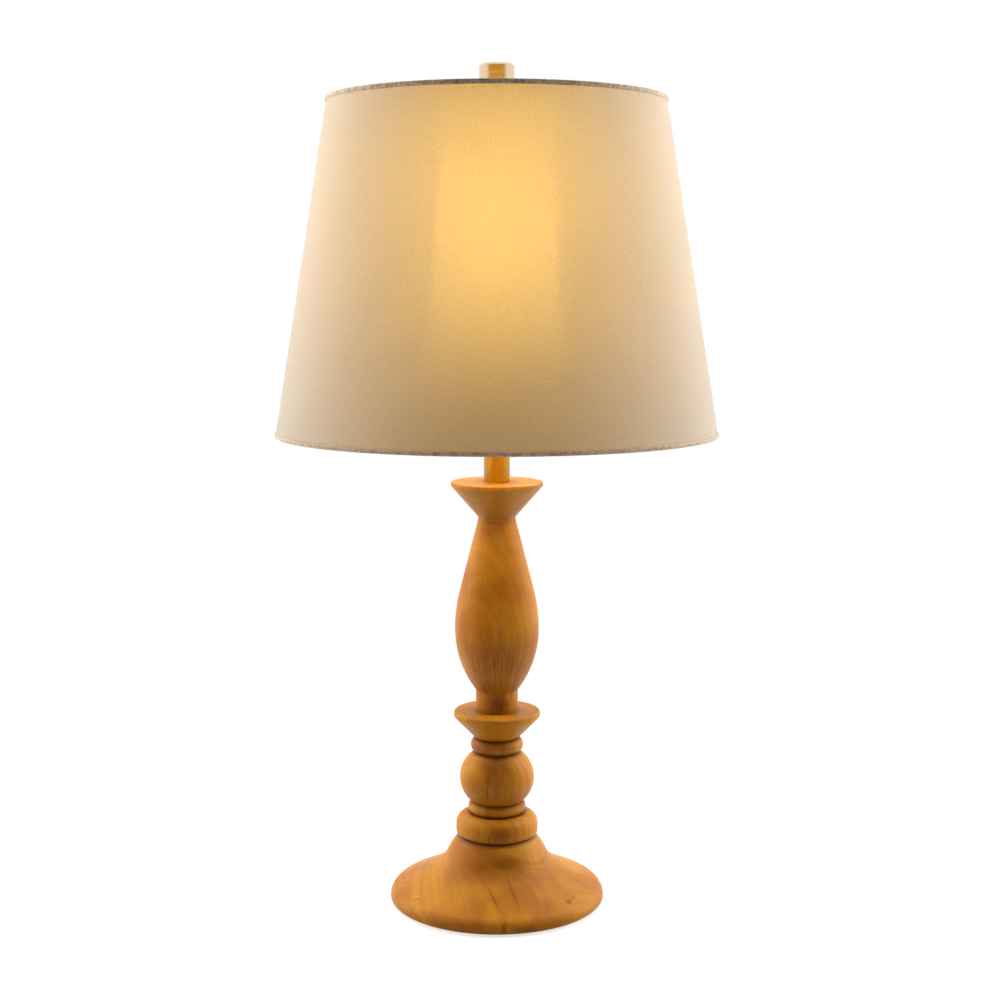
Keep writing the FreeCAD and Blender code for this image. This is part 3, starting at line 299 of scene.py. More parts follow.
def turnedWood(name, blank, joinShades):
    # height, radius and darkness of the painted shade where this turning meets the ones below and
    # above
    look = woodLook
    material, tree = newMaterial("rubberwoodSatin_" + name)
    place = addNode(tree, "ShaderNodeTexCoord").outputs["Object"]
    upright = Vector(blank["way"]).rotation_difference(Vector((0, 0, 1)))
    laid = addNode(tree, "ShaderNodeMapping", None,
                   {"Vector": place, "Location": -(upright @ (Vector(blank["heart"]) * mm)),
                    "Rotation": upright.to_euler()})
    moved = shaken(tree, laid, look["wanderOver"], look["wander"], 1.0)
    across = addNode(tree, "ShaderNodeVectorMath", {"operation": "MULTIPLY"},
                     {0: moved, 1: (1, 1, look["ringAlong"])})
    out = addNode(tree, "ShaderNodeVectorMath", {"operation": "LENGTH"}, {0: across})
    ringAt = addNode(tree, "ShaderNodeMath", {"operation": "DIVIDE"},
                     {0: out.outputs["Value"], 1: blank.get("ringWidth", look["ringWidth"])})
    rings = addNode(tree, "ShaderNodeTexNoise", {"noise_dimensions": "1D"},
                    {"W": ringAt, "Scale": 1.0, "Detail": 2.5, "Roughness": 0.6})
    ringTone = addNode(tree, "ShaderNodeMapRange", {"interpolation_type": "SMOOTHSTEP"},
                       {"Value": rings, "From Min": 0.3, "From Max": 0.75,
                        "To Max": blank["figure"]})

    # glaze streaks run up and down the turned surface, vessels along the grain
    flat, radius, height = aboutAxis(tree, place)
    around = addNode(tree, "ShaderNodeVectorMath", {"operation": "NORMALIZE"}, {0: flat})
    upward = addNode(tree, "ShaderNodeCombineXYZ", None, {2: height})
    wrapped = addNode(tree, "ShaderNodeVectorMath", {"operation": "MULTIPLY_ADD"},
                      {0: around, 1: (look["wrap"],) * 3, 2: upward})
    streaks, pores = (
        grain(tree, spot, (look[kind + "Wide"], look[kind + "Wide"], look[kind + "Long"]), detail)
        for kind, spot, detail in (("streak", wrapped, 2.0), ("vessel", moved, 1.0)))
    vessels = addNode(tree, "ShaderNodeMapRange", None,
                      {"Value": pores, "From Min": 0.6, "From Max": 0.78})
    cloudy = addNode(tree, "ShaderNodeTexNoise", None,
                     {"Vector": moved, "Scale": 1 / look["toneOver"], "Detail": 2.0})
    streakTop = blank.get("streaksBelow", look["streaksBelow"]) * mm
    streaky = addNode(tree, "ShaderNodeMapRange", {"interpolation_type": "SMOOTHSTEP"},
                      {"Value": height, "From Min": streakTop,
                       "From Max": streakTop - look["streakFade"],
                       "To Min": look["streakLeast"]})
    streakTone = addNode(tree, "ShaderNodeMapRange", None,
                         {"Value": streaks, "From Min": 0.42, "From Max": 0.72,
                          "To Max": blank["streaks"]})
    streakShare = addNode(tree, "ShaderNodeMath", {"operation": "MULTIPLY"},
                          {0: streakTone, 1: streaky})
    stainShare = addNode(tree, "ShaderNodeMapRange", {"interpolation_type": "SMOOTHSTEP"},
                         {"Value": cloudy, "From Min": 0.35, "From Max": 0.7,
                          "To Min": blank["stain"] / 3, "To Max": blank["stain"]})
    vesselShare = addNode(tree, "ShaderNodeMath", {"operation": "MULTIPLY"},
                          {0: vessels, 1: look["vesselDark"]})
    layers = [(streakShare, "brown"), (stainShare, "brown"), (vesselShare, "vessel")]
    shaky = shaken(tree, place, look["wobbleOver"], look["wobble"], 2.0)
    layers += [(markShare(tree, shaky, mark), "vessel") for mark in blank.get("marks", [])]
    # painted shade: the colour darkens where two turnings meet
    spot = addNode(tree, "ShaderNodeCombineXYZ", None, {0: radius, 1: height})
    for seamHeight, seamRadius, dark in joinShades:
        away = addNode(tree, "ShaderNodeVectorMath", {"operation": "DISTANCE"},
                       {0: spot, 1: (seamRadius, seamHeight, 0)})
        seamShadeShare = addNode(tree, "ShaderNodeMapRange", {"interpolation_type": "SMOOTHSTEP"},
                            {"Value": away.outputs["Value"], "From Max": look["seamShadeDeep"],
                             "To Min": dark, "To Max": 0.0})
        layers.append((seamShadeShare, "seamShadeColour"))
    tone = addNode(tree, "ShaderNodeMix", {"data_type": "RGBA"},
                   {0: ringTone, 6: look["pale"], 7: look["honey"]})
    for share, stain in layers:
        tone = addNode(tree, "ShaderNodeMix", {"data_type": "RGBA"},
                       {0: share, 6: tone.outputs[2], 7: look[stain]})
    relief = addNode(tree, "ShaderNodeMath", {"operation": "SUBTRACT"},
                     {0: streaks, 1: vessels})
    bump = addNode(tree, "ShaderNodeBump", None,
                   {"Strength": look["bumpStrength"], "Distance": look["bump"],
                    "Height": relief})
    satin = addNode(tree, "ShaderNodeMapRange", None,
                    {"Value": streaks, "To Min": look["satin"] - look["satinSpread"] / 2,
                     "To Max": look["satin"] + look["satinSpread"] / 2})
    wood = addNode(tree, "ShaderNodeBsdfPrincipled", None,
                   {"Base Color": tone.outputs[2], "Roughness": satin, "IOR": look["ior"],
                    "Coat Weight": look["coat"], "Coat Roughness": look["coatSatin"],
                    "Normal": bump})
    addNode(tree, "ShaderNodeOutputMaterial", None, {"Surface": wood})
    parts[name].material_slots[0].material = material


# each turning is its own blank: heart is a point of the tree's centre line and way its
# direction, figure how strongly its rings show, and the next value how dark the painted shade is
# where the turning on top meets it; marks are the cracks, knots and soft dark spots of this
# one lamp, in mm; the spot at the front foot of the baluster's neck is painted shade, and the
# two on the lamp's axis are painted shade over the whole top of a dish
blanks = {
    "base": {
        "heart": (-58, 41, -203), "way": (0.86, 0.42, -0.28), "figure": 0.55, "joint": 0.72,
        "ringWidth": 4 * mm, "streaks": 0.15, "stain": 0.65, "marks": [
            {"at": (7, -37, 40.5), "size": (19, 16, 7), "dark": 0.5},
            {"at": (55, -49.5, 14), "size": (3.4, 4.5, 5), "dark": 0.75},
            {"at": (58.5, -44, 16), "size": (0.9, 6, 5), "turn": -20, "dark": 0.6},
            {"at": (-71.7, -9.6, 15), "size": (4.5, 1.5, 5), "turn": -35, "dark": 0.7},
            {"at": (-62, -43.5, 13), "size": (6, 1.6, 5), "turn": 4, "dark": 0.55},
            {"at": (5.4, -83.5, 6), "size": (3, 6, 8), "dark": 0.6},
            {"at": (22, -81, 4), "size": (13, 8, 5), "dark": 0.45},
            {"at": (-2.5, -61, 20), "size": (1.1, 21, 16), "turn": 23, "dark": 0.6},
            {"at": (13, -57, 24), "size": (1.1, 27, 22), "turn": 20, "dark": 0.6}]},
    "base_disc": {
        "heart": (28, 12, 0), "way": (0.03, 0.05, 1), "figure": 0.7, "joint": 0.72,
        "streaks": 0.35, "stain": 0.55, "marks": [
            {"at": (-6.1, -31.5, 57), "size": (0.8, 6, 6), "dark": 0.9},
            {"at": (4, -31, 60), "size": (12, 9, 8), "dark": 0.45}]},
    "lower_ring": {
        "heart": (-30, 20, 100), "way": (0.05, 0.02, 1), "figure": 0.7, "joint": 0.72,
        "streaks": 0.35, "stain": 0.5},
    "ball": {
        "heart": (22, 34, 50), "way": (0.06, -0.05, 1), "figure": 0.7, "joint": 0.72,
        "streaks": 0.4, "stain": 0.4, "marks": [
            {"at": (-7.6, -27.5, 93.5), "size": (0.9, 9, 8), "dark": 0.9},
            {"at": (-6.5, -27, 103), "size": (4, 9, 8), "dark": 0.5},
            {"at": (6.3, -28, 95.5), "size": (0.7, 8, 5), "dark": 0.55},
            {"at": (0, -24, 112), "size": (19, 18, 11), "dark": 0.45}]},
    "upper_bead": {
        "heart": (50, 10, 300), "way": (0.02, 0.06, 1), "figure": 0.7, "joint": 0.72,
        "streaks": 0.35, "stain": 0.65},
    "lower_dish": {
        "heart": (-40, -30, 200), "way": (0.07, 0.04, 1), "figure": 0.5, "joint": 0.35,
        "streaks": 0.2, "stain": 0.3, "marks": [
            # painted shade over the dish's whole top
            {"at": (0, 0, 153), "size": (60, 60, 6), "dark": 0.45}]},
    "baluster": {
        "heart": (36, 30, 400), "way": (0.05, -0.06, 1), "figure": 0.6, "joint": 0.2,
        "streaks": 0.8, "streaksBelow": 225, "stain": 0.62, "marks": [
            {"at": (3, -30.7, 237.5), "size": (0.9, 5, 1.2), "dark": 0.8},
            # painted shade at the front foot of the neck, where it stands on the dish
            {"at": (1.6, -16, 160), "size": (11, 12, 9), "dark": 0.5}]},
    "upper_dish": {
        "heart": (10, 50, 600), "way": (-0.04, 0.07, 1), "figure": 0.6, "joint": 0.0,
        "streaks": 0.25, "stain": 0.35, "marks": [
            # painted shade over the dish's whole top
            {"at": (0, 0, 333), "size": (70, 70, 5), "dark": 0.5}]},
}
stack = list(blanks)
seamShades = []
for below, above in zip(stack, stack[1:]):
    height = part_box(above)[0].z
    seamShades.append((height, min(endRadius(below, height), endRadius(above, height)),
                  blanks[below]["joint"]))
for place, (name, blank) in enumerate(blanks.items()):
    turnedWood(name, blank, seamShades[max(place - 1, 0):place + 1])
print("wood finished:", len(blanks), "turnings")


# the other finishes: one maker of metals, plastics and boards, told what each real one is;
# smudges is how many there are to the metre, spread how far the roughness varies

finishLook = {"smudges": 60.0, "spread": 0.1, "coatRough": 0.12, "bumpStrength": 0.5}


def finish(name, colour, second, metallic, roughness, grit, depth=0.0, turned=False, coat=0.0,
           ior=None, glow=None):
    # grit: size in mm of the grain along x, y, z, or across and along the turning marks
    material, tree = newMaterial(name)
    place = addNode(tree, "ShaderNodeTexCoord").outputs["Object"]
    if turned:   # marks run round the axis, so the pattern reads the radius and the height
        radius, height = aboutAxis(tree, place)[1:]
        place = addNode(tree, "ShaderNodeCombineXYZ", None, {0: radius, 2: height})
    fine = grain(tree, place, [size * mm for size in grit], 2.0)
    smudge = addNode(tree, "ShaderNodeTexNoise", None,
                     {"Vector": place, "Scale": finishLook["smudges"], "Detail": 3.0})
    both = addNode(tree, "ShaderNodeMix", None, {0: 0.5, 2: fine, 3: smudge})
    share = addNode(tree, "ShaderNodeMapRange", None,
                    {"Value": both, "From Min": 0.35, "From Max": 0.65})
    tint = addNode(tree, "ShaderNodeMix", {"data_type": "RGBA"},
                   {0: share, 6: colour, 7: second})
    rough = addNode(tree, "ShaderNodeMapRange", None,
                    {"Value": both, "From Min": 0.3, "From Max": 0.7,
                     "To Min": roughness - finishLook["spread"] / 2,
                     "To Max": roughness + finishLook["spread"] / 2})
    feeds = {"Base Color": tint.outputs[2], "Roughness": rough, "Metallic": metallic,
             "Coat Weight": coat, "Coat Roughness": finishLook["coatRough"]}
    if depth:
        feeds["Normal"] = addNode(tree, "ShaderNodeBump", None,
                                  {"Strength": finishLook["bumpStrength"],
                                   "Distance": depth * mm, "Height": fine})
    if ior:
        feeds["IOR"] = ior
    if glow:
        feeds["Emission Color"], feeds["Emission Strength"] = glow
    shader = addNode(tree, "ShaderNodeBsdfPrincipled", None, feeds)
    addNode(tree, "ShaderNodeOutputMaterial", None, {"Surface": shader})
    return material


# turned, brushed round and lacquered: pale bands from the softboxes and a deep gold middle
finialBrass = finish("brushedBrassFinial", "#EAD4B4", "#DEC6A2", 1.0, 0.26,
                     (0.12, 0.12, 0.12), 0.02, turned=True, coat=0.4)
# polished tube under lacquer: warmer, and softer marks
neckBrass = finish("lacqueredBrassTube", "#CB9527", "#BE861E", 1.0, 0.4,
                   (0.2, 0.2, 0.25), 0.01, turned=True, coat=0.4)
# brass-plated steel: paler, with a faint haze
platedBrass = finish("brassPlatedSteel", "#CDA35A", "#B98F48", 1.0, 0.32, (0.6, 0.6, 2.0), 0.01)
# drawn brass shell: drawing marks up and down, clear lacquer
drawnBrass = finish("drawnBrassShell", "#C79A4C", "#B4853A", 1.0, 0.28, (0.5, 0.5, 6.0), 0.01,
                    coat=0.3)
# machined brass: pale gold under fine, even cutting marks
machinedBrass = finish("machinedBrassTerminal", "#D0A050", "#B8863A", 1.0, 0.35,
                       (0.15, 0.15, 0.15), 0.02)
# bright zinc: bluish grey with soft spangles
zincSteel = finish("zincPlatedSteel", "#B9BCBE", "#8F9496", 1.0, 0.42, (1.6, 1.6, 1.6), 0.01)
# sand-cast disc: almost black, rough as the sand
castIron = finish("sandCastIron", "#3A3937", "#272624", 0.6, 0.75, (0.7, 0.7, 0.7), 0.15)
# drawn cap: light grey, dull along its draw marks
drawnAluminium = finish("drawnAluminiumCap", "#C6C7C9", "#AEB0B2", 1.0, 0.3,
                        (0.4, 0.4, 5.0), 0.01)
# black-brown, glossy where the mould was polished, with faint flow marks
phenolic = finish("mouldedPhenolic", "#1D1A18", "#292421", 0.0, 0.3, (0.8, 0.8, 1.4), 0.01,
                  ior=1.6)
# moulded nylon: black, half dull, finely grained
nylon = finish("mouldedBlackNylon", "#1B1B1B", "#262626", 0.0, 0.5, (0.35, 0.35, 0.35), 0.02,
               ior=1.53)
# waxed board: brown, with short fibres
kraftBoard = finish("waxedKraftBoard", "#A58659", "#8A6C42", 0.0, 0.62, (1.2, 1.2, 0.25), 0.04)
# fused glass: black, wet-looking, all but smooth
blackGlass = finish("blackGlassInsulator", "#0D0F14", "#15171C", 0.0, 0.12, (2, 2, 2), ior=1.52)
# baked enamel: white, with orange peel
enamel = finish("whiteEnamelWire", "#E6E2D8", "#D8D3C6", 0.0, 0.32, (1.1, 1.1, 1.1), 0.03,
                ior=1.5, coat=0.4)
# bulb: frosted inside, so its whole face glows evenly, 2700 K. The face itself glows weakly, so
# that it stays visible; two lamps give its light, one in the glass and one over its crown.
bulbGlow = {
    "light": "#FFF2D2", "seen": "#FFD48A", "strength": 0.62, "bodyUp": 0.5, "bodySize": 0.029,
    "bodyPower": 3.5, "crownUp": 0.58, "crownSize": 0.06, "crownPower": 1.35,
    "wire": "#FFC070", "wireStrength": 30.0}
frosted = finish("frostedBulbGlass", "#9C978C", "#8F897E", 0.0, 0.35, (1, 1, 1), ior=1.5,
                 glow=(linear(bulbGlow["seen"]), bulbGlow["strength"]))
for spot in ("body", "crown"):
    lamp = bpy.data.lights.new(spot + "Light", "POINT")
    lamp.energy, lamp.shadow_soft_size = bulbGlow[spot + "Power"], bulbGlow[spot + "Size"]
    lamp.color = linear(bulbGlow["light"])[:3]
    bulbLight = newPiece(spot + "Light", lamp)
    bulbLight.location = (0, 0, bulbGlow[spot + "Up"])
    bulbLight.visible_camera = bulbLight.visible_glossy = False
# the lamp in the glass shines through it, and the harp's thin wire leaves no shadow on the
# shade, neither in straight light nor in what the cloth scatters
for name in ("bulb_glass", "harp_wire"):
    parts[name].visible_shadow = parts[name].visible_transmission = False
# pressed stem: pale, with sharp glints
stemGlass = finish("clearStemGlass", "#DCE4E2", "#CBD6D3", 0.0, 0.08, (2, 2, 2), ior=1.52)
# tungsten at work: an orange-white thread, the brightest spot of all
tungsten = finish("glowingTungsten", "#8C8578", "#A09888", 1.0, 0.5, (0.1, 0.1, 0.1),
                  glow=(linear(bulbGlow["wire"]), bulbGlow["wireStrength"]))

worn = {
    finialBrass: ["finial_neck", "finial_knob"], neckBrass: ["neck_tube", "check_ring"],
    platedBrass: ["harp_saddle", "harp_wire", "harp_clip", "harp_stud", "sleeve_left",
                  "sleeve_right"],
    drawnBrass: ["socket_cap", "socket_shell"],
    machinedBrass: ["terminal_screws", "screw_shell", "centre_contact", "switch_shaft"],
    zincSteel: ["weight_screws", "bottom_washer", "bottom_nut", "lamp_pipe", "cap_set_screw"],
    castIron: ["base_weight"], drawnAluminium: ["bulb_cap", "bulb_contact"],
    phenolic: ["socket_core", "switch_knob"], nylon: ["cord_bush"],
    kraftBoard: ["socket_liner"], blackGlass: ["bulb_insulator"],
    enamel: ["shade_top_ring", "shade_low_ring", "spider_hub", "spider_arm_back",
             "spider_arm_left", "spider_arm_right"],
    frosted: ["bulb_glass"], stemGlass: ["bulb_stem"], tungsten: ["bulb_filament"],
}
for material, names in worn.items():
    for name in names:
        parts[name].material_slots[0].material = material
print("metals, plastics and glass finished")


# shade: a sheet of styrene with linen-look cloth on it, and a folded tape round each rim

shadeLook = {
    "linen": "#F8F6F3", "linenDark": "#E9E4DD", "through": "#FFF8D0", "throughThick": "#E0BE7C",
    "passes": 0.58, "ahead": 0.95, "aheadRough": 1.0, "backClear": 0.7,
    "thread": 1.3 * mm,   # a real thread is 0.5 mm: drawn coarser
    "fleck": 1.5 * mm, "fleckShare": 0.7, "slubWide": 1.1 * mm, "slubLong": 9 * mm,
    # after the bump: a painted glow, light that the cloth gives off by itself, and how it fades
    "bump": 0.12 * mm, "glow": "#FFD66E", "paintedGlowStrength": 0.04, "paintedGlowLeast": 0.15,
    "film": "#F2ECE0", "filmDark": "#E8E0D2", "filmClear": 0.62, "filmClouds": 90.0,
    "tapePale": "#D6C8B6", "tapeDark": "#AE9884", "tapeFuzz": 420.0, "tapeBump": 0.1 * mm,
    # the tape's glow colour and strength are painted: light of its own for the shade's light
    # through it
    "tapePaintedGlow": "#BE8450", "tapePaintedGlowStrength": 0.22}


def styreneSheet():
    # milky film: most of the light goes straight on, the rest comes back white
    look = shadeLook
    material, tree = newMaterial("milkyStyreneSheet")
    place = addNode(tree, "ShaderNodeTexCoord").outputs["Object"]
    cloud = addNode(tree, "ShaderNodeTexNoise", None,
                    {"Vector": place, "Scale": look["filmClouds"]})
    tint = addNode(tree, "ShaderNodeMix", {"data_type": "RGBA"},
                   {0: cloud, 6: look["film"], 7: look["filmDark"]})
    film = addNode(tree, "ShaderNodeBsdfPrincipled", None,
                   {"Base Color": tint.outputs[2], "Roughness": 0.45, "IOR": 1.59})
    clear = addNode(tree, "ShaderNodeBsdfTransparent", None, {"Color": "#FFFFFF"})
    both = addNode(tree, "ShaderNodeMixShader", None, {0: look["filmClear"], 1: film, 2: clear})
    addNode(tree, "ShaderNodeOutputMaterial", None, {"Surface": both})
    return material


def linenCloth(name, back):
    # plain weave with slubs: matt, a little sheen, and light that glows through ahead of it
    look = shadeLook
    material, tree = newMaterial(name)
    uv = addNode(tree, "ShaderNodeUVMap", {"uv_map": "cloth"})
    # a wave texture's bands are pi / 10 wide at scale 1
    across, along = (
        addNode(tree, "ShaderNodeTexWave", {"bands_direction": way},
                {"Vector": uv, "Scale": math.pi / 10 / look["thread"], "Distortion": 2.2,
                 "Detail": 2.0, "Detail Scale": 1.6}).outputs[1] for way in "XY")
    weave = addNode(tree, "ShaderNodeMath", {"operation": "MULTIPLY"}, {0: across, 1: along})
    thick = addNode(tree, "ShaderNodeMath", {"operation": "ADD"},
                    {0: grain(tree, uv, (look["slubWide"], look["slubLong"], 1), 2.0),
                     1: grain(tree, uv, (look["slubLong"], look["slubWide"], 1), 2.0)})
    relief = addNode(tree, "ShaderNodeMath", {"operation": "ADD"}, {0: weave, 1: thick})
    share = addNode(tree, "ShaderNodeMapRange", None,
                    {"Value": relief, "From Min": 0.7, "From Max": 1.75})
    flecks = addNode(tree, "ShaderNodeTexNoise", None,
                     {"Vector": uv, "Scale": 1 / look["fleck"], "Detail": 3.0,
                      "Roughness": 0.7})
    fleckTone = addNode(tree, "ShaderNodeMapRange", None,
                        {"Value": flecks, "From Min": 0.34, "From Max": 0.66})
    dense = addNode(tree, "ShaderNodeMix", None,
                    {0: look["fleckShare"], 2: share, 3: fleckTone})
    tint = addNode(tree, "ShaderNodeMix", {"data_type": "RGBA"},
                   {0: dense, 6: look["linenDark"], 7: look["linen"]})
    bump = addNode(tree, "ShaderNodeBump", None,
                   {"Strength": 0.5, "Distance": look["bump"], "Height": relief})
    cloth = addNode(tree, "ShaderNodeBsdfPrincipled", None,
                    {"Base Color": tint.outputs[2], "Roughness": 0.9, "Sheen Weight": 0.1,
                     "IOR": 1.45, "Specular IOR Level": 0.2, "Normal": bump})
    if back:   # the side that lies on the film lets the light on
        onward = addNode(tree, "ShaderNodeBsdfTransparent", None, {"Color": "#FFFFFF"})
    else:
        # painted glow: the cloth gives off light of its own, most at the bulb's height, standing
        # in for the bulb's light coming through it
        place = addNode(tree, "ShaderNodeTexCoord").outputs["Object"]
        height = addNode(tree, "ShaderNodeSeparateXYZ", None, {0: place}).outputs[2]
        paintedGlowShare = addNode(tree, "ShaderNodeMapRange", {"interpolation_type": "SMOOTHSTEP"},
                      {"Value": height, "From Min": shadeLow, "From Max": bulbMiddle,
                       "To Min": look["paintedGlowLeast"], "To Max": 1.0})
        glow = addNode(tree, "ShaderNodeMix", {"data_type": "RGBA"},
                       {0: paintedGlowShare, 6: "#000000", 7: look["glow"]})
        tree.links.new(glow.outputs[2], cloth.inputs["Emission Color"])
        cloth.inputs["Emission Strength"].default_value = look["paintedGlowStrength"]
        # thin places between threads pass more, and most of it keeps to the way it came
        passed = addNode(tree, "ShaderNodeMix", {"data_type": "RGBA"},
                         {0: dense, 6: look["through"], 7: look["throughThick"]}).outputs[2]
        wide = addNode(tree, "ShaderNodeBsdfTranslucent", None, {"Color": passed})
        ahead = addNode(tree, "ShaderNodeBsdfRefraction", None,
                        {"Color": passed, "Roughness": look["aheadRough"], "IOR": 1.45})
        onward = addNode(tree, "ShaderNodeMixShader", None, {0: look["ahead"], 1: wide, 2: ahead})
    both = addNode(tree, "ShaderNodeMixShader", None,
                   {0: look["backClear" if back else "passes"], 1: cloth, 2: onward})
    addNode(tree, "ShaderNodeOutputMaterial", None, {"Surface": both})
    return material


def tapeCloth():
    # folded binding tape: taupe, ribbed across, so it reads dark against the glow
    look = shadeLook
    material, tree = newMaterial("ribbedBindingTape")
    place = addNode(tree, "ShaderNodeTexCoord").outputs["Object"]
    fuzz = addNode(tree, "ShaderNodeTexNoise", None,
                   {"Vector": place, "Scale": look["tapeFuzz"], "Detail": 2.0})
    share = addNode(tree, "ShaderNodeMapRange", None,
                    {"Value": fuzz, "From Min": 0.3, "From Max": 0.7})
    tint = addNode(tree, "ShaderNodeMix", {"data_type": "RGBA"},
                   {0: share, 6: look["tapeDark"], 7: look["tapePale"]})
    bump = addNode(tree, "ShaderNodeBump", None,
                   {"Strength": 0.4, "Distance": look["tapeBump"], "Height": fuzz})
    # painted glow: a faint light of the tape's own, standing in for the lit shade shining through
    # it
    glow = addNode(tree, "ShaderNodeMix", {"data_type": "RGBA"},
                   {0: share, 6: "#000000", 7: look["tapePaintedGlow"]})
    cloth = addNode(tree, "ShaderNodeBsdfPrincipled", None,
                    {"Base Color": tint.outputs[2], "Roughness": 0.85, "Sheen Weight": 0.15,
                     "Specular IOR Level": 0.25, "Normal": bump,
                     "Emission Color": glow.outputs[2],
                     "Emission Strength": look["tapePaintedGlowStrength"]})
    addNode(tree, "ShaderNodeOutputMaterial", None, {"Surface": cloth})
    return material


coverLow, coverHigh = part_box("shade_fabric")
shadeLow, shadeHigh = coverLow.z, coverHigh.z
bulbLow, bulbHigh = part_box("bulb_glass")
bulbMiddle = bulbHigh.z - (bulbHigh.x - bulbLow.x) / 2
lowRadius, topRadius = coverHigh.x, endRadius("shade_fabric", shadeHigh)
coverLook = {"lap": 12 * mm, "lapRise": 0.7 * mm, "wall": 0.5 * mm, "around": 440, "down": 64}
# a cone opens flat into a sector: its angle is narrower by this, its radii are longer
narrowing = (lowRadius - topRadius) / math.hypot(lowRadius - topRadius, shadeHigh - shadeLow)
lapAngle = coverLook["lap"] / lowRadius
coverSizes = {
    "Top Radius": topRadius, "Low Radius": lowRadius, "Low": shadeLow, "High": shadeHigh,
    "Columns": coverLook["around"] + 1, "Rows": coverLook["down"] + 1,
    "Full Angle": 2 * math.pi + lapAngle, "Climb From": 2 * math.pi - lapAngle,
    "Lap Rise": coverLook["lapRise"], "Narrowing": narrowing,
    "Cut From": math.pi * (1 - narrowing)}


def growCover():
    # the cloth as it is cut, a sector of a ring, rolled up and lapped at the back
    tree, size = newTree("shadeCover", coverSizes)
    grid = addNode(tree, "GeometryNodeMeshGrid", None,
                   {"Size X": 1.0, "Size Y": 1.0, "Vertices X": size["Columns"],
                    "Vertices Y": size["Rows"]})
    place = addNode(tree, "GeometryNodeInputPosition")
    shares = addNode(tree, "ShaderNodeVectorMath", {"operation": "ADD"},
                     {0: place, 1: (0.5, 0.5, 0)})
    spot = addNode(tree, "ShaderNodeSeparateXYZ", None, {0: shares})
    angle = addNode(tree, "ShaderNodeMath", {"operation": "MULTIPLY"},
                    {0: spot, 1: size["Full Angle"]})
    radius, height = (
        addNode(tree, "ShaderNodeMix", None, {0: spot.outputs[1], 2: size[start], 3: size[end]})
        for start, end in (("Low Radius", "Top Radius"), ("Low", "High")))
    # the angle starts at the back, where the far end climbs over the near one
    climb = addNode(tree, "ShaderNodeMapRange", {"interpolation_type": "SMOOTHSTEP"},
                    {"Value": angle, "From Min": size["Climb From"], "From Max": 2 * math.pi,
                     "To Max": size["Lap Rise"]})
    lifted = addNode(tree, "ShaderNodeMath", {"operation": "ADD"}, {0: radius, 1: climb})
    upright = addNode(tree, "ShaderNodeCombineXYZ", None, {1: lifted, 2: height})
    rolled = addNode(tree, "ShaderNodeVectorRotate", {"rotation_type": "Z_AXIS"},
                     {"Vector": upright, "Angle": angle})
    # the same point on the flat cut, in metres, with the front's threads upright
    reach = addNode(tree, "ShaderNodeMath", {"operation": "DIVIDE"},
                    {0: radius, 1: size["Narrowing"]})
    swing = addNode(tree, "ShaderNodeMath", {"operation": "MULTIPLY_ADD"},
                    {0: angle, 1: size["Narrowing"], 2: size["Cut From"]})
    spoke = addNode(tree, "ShaderNodeCombineXYZ", None, {1: reach})
    flat = addNode(tree, "ShaderNodeVectorRotate", {"rotation_type": "Z_AXIS"},
                   {"Vector": spoke, "Angle": swing})
    stored = addNode(tree, "GeometryNodeStoreNamedAttribute",
                     {"data_type": "FLOAT2", "domain": "CORNER"},
                     {"Geometry": grid.outputs["Mesh"], "Name": "cloth", "Value": flat})
    placed = addNode(tree, "GeometryNodeSetPosition", None,
                     {"Geometry": stored, "Position": rolled})
    endTree(tree, placed, size["Finish"])
    return growPiece("shadeCover", tree, coverSizes, linenFront, coverLook["wall"])


tapeLook = {"round": 0.65 * mm, "rib": 0.22 * mm, "pitch": 1.5 * mm, "cover": 0.1 * mm,
            "around": 360}


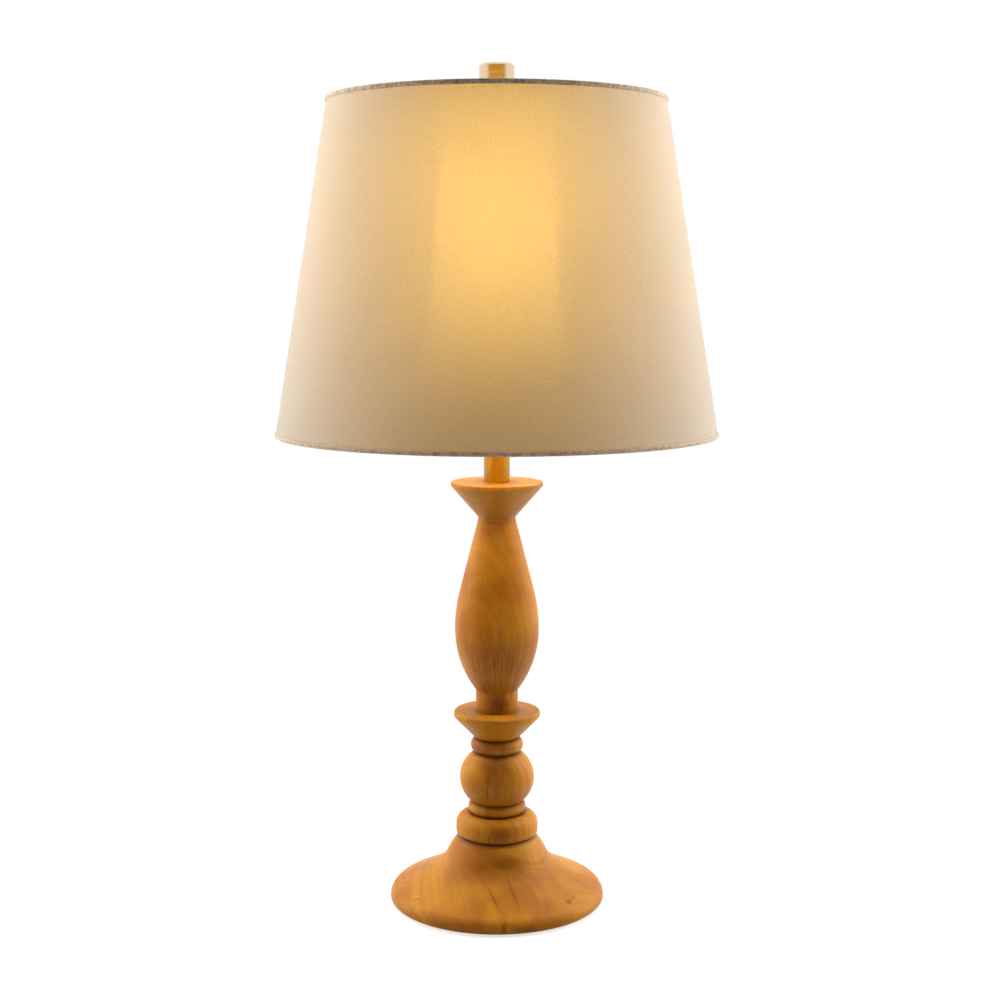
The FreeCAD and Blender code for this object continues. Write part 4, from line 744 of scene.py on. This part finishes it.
def growTape(name, node):
    # a ring with a rounded square section, and a fine rib round it at every pitch
    low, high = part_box(node)
    inner = min(v.co.xy.length for v in parts[node].data.vertices)
    sizes = {"Middle": (high.x + inner) / 2, "Level": (high.z + low.z) / 2,
             "Round": tapeLook["round"], "Thread": tapeLook["rib"],
             "Ribs": round(2 * math.pi * high.x / tapeLook["pitch"])}
    for key, inset in (("Band", tapeLook["cover"]), ("Rib", tapeLook["rib"])):
        sizes[key + " Width"] = high.x - inner - 2 * inset
        sizes[key + " Height"] = high.z - low.z - 2 * inset
    tree, size = newTree(name, sizes)

    def section(key, corner):
        box = addNode(tree, "GeometryNodeCurvePrimitiveQuadrilateral", None,
                      {"Width": size[key + " Width"], "Height": size[key + " Height"]})
        return addNode(tree, "GeometryNodeFilletCurve", {"mode": "POLY"},
                       {"Curve": box, "Radius": size["Round"], "Count": corner})

    path = addNode(tree, "GeometryNodeCurvePrimitiveCircle", None,
                   {"Resolution": tapeLook["around"], "Radius": size["Middle"]})
    band = addNode(tree, "GeometryNodeCurveToMesh", None,
                   {"Curve": path, "Profile Curve": section("Band", 3)})
    thread = addNode(tree, "GeometryNodeCurvePrimitiveCircle", None,
                     {"Resolution": 4, "Radius": size["Thread"]})
    rib = addNode(tree, "GeometryNodeCurveToMesh", None,
                  {"Curve": section("Rib", 1), "Profile Curve": thread})
    spots = addNode(tree, "GeometryNodeMeshCircle", None,
                    {"Vertices": size["Ribs"], "Radius": size["Middle"]})
    place = addNode(tree, "GeometryNodeInputPosition")
    spot = addNode(tree, "ShaderNodeSeparateXYZ", None, {0: place})
    angle = addNode(tree, "ShaderNodeMath", {"operation": "ARCTAN2"},
                    {0: spot.outputs[1], 1: spot})
    turn = addNode(tree, "ShaderNodeCombineXYZ", None, {0: math.pi / 2, 2: angle})
    ribs = addNode(tree, "GeometryNodeInstanceOnPoints", None,
                   {"Points": spots, "Instance": rib, "Rotation": turn})
    both = addNode(tree, "GeometryNodeJoinGeometry")
    for half in (ribs, band):
        tree.links.new(half.outputs[0], both.inputs[0])
    lift = addNode(tree, "ShaderNodeCombineXYZ", None, {2: size["Level"]})
    placed = addNode(tree, "GeometryNodeTransform", None,
                     {"Geometry": both, "Translation": lift})
    endTree(tree, placed, size["Finish"])
    tape = growPiece(name, tree, sizes, tapeMaterial)
    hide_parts(node)
    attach(tape, "shade")


parts["shade_liner"].material_slots[0].material = styreneSheet()
linenFront = linenCloth("linenLookCover", False)
linenBack = linenCloth("linenLookCoverBack", True)
tapeMaterial = tapeCloth()
cover = growCover()
cover.data.materials.append(linenBack)
for face in cover.data.polygons:
    if face.normal.x * face.center.x + face.normal.y * face.center.y < 0:
        face.material_index = 1
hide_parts("shade_fabric")
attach(cover, "shade")
growTape("topTape", "shade_trim_top")
growTape("lowTape", "shade_trim_low")
# the flat cut is a sector of a ring, as wide and as tall as the cone's two rims make it
print("shade made:", len(cover.data.polygons), "faces in the cover")


# felt under the foot: a cut disc with a soft edge

feltLook = {"edge": 0.5 * mm, "fuzz": 0.25 * mm, "around": 240, "insets": (0.3, 0.6, 0.85),
            "frayFrom": 0.9, "waves": (37, 61)}


def makeFelt():
    low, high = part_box("felt_pad")
    radius, edge, around = high.x, feltLook["edge"], feltLook["around"]
    quarter = (0, math.pi / 6, math.pi / 3, math.pi / 2)
    profile = [(radius * share, low.z) for share in feltLook["insets"]]
    profile += [(radius - edge + edge * math.sin(a), low.z + edge - edge * math.cos(a))
                for a in quarter]
    profile += [(radius - edge + edge * math.cos(a), high.z - edge + edge * math.sin(a))
                for a in quarter]
    profile += [(radius * share, high.z) for share in reversed(feltLook["insets"])]
    points, faces = [(0, 0, low.z)], []
    for r, z in profile:
        # the cut edge is a little frayed, inwards of the disc's size
        fuzz = feltLook["fuzz"] if r > radius * feltLook["frayFrom"] else 0.0
        for i in range(around):
            a = 2 * math.pi * i / around
            wave = math.sin(feltLook["waves"][0] * a) + math.sin(feltLook["waves"][1] * a + 1)
            frayed = r + fuzz * (wave / 2 - 1)
            points.append((frayed * math.cos(a), frayed * math.sin(a), z))
    points.append((0, 0, high.z))
    last = len(points) - 1
    top = 1 + (len(profile) - 1) * around
    for i in range(around):
        j = (i + 1) % around
        faces.append((0, 1 + j, 1 + i))
        for base in range(1, top, around):
            faces.append((base + i, base + j, base + around + j, base + around + i))
        faces.append((top + i, top + j, last))
    mesh = bpy.data.meshes.new("feltDisc")
    mesh.from_pydata(points, [], faces)
    for face in mesh.polygons:
        face.use_smooth = True
    # pressed wool: dark green, matt, with tangled fibres
    mesh.materials.append(finish("pressedWoolFelt", "#3B4A38", "#2B3829", 0.0, 0.95,
                                 (0.5, 0.5, 0.5), 0.2))
    return newPiece("feltDisc", mesh)


felt = makeFelt()
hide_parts("felt_pad")
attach(felt, "root")
print("felt made")
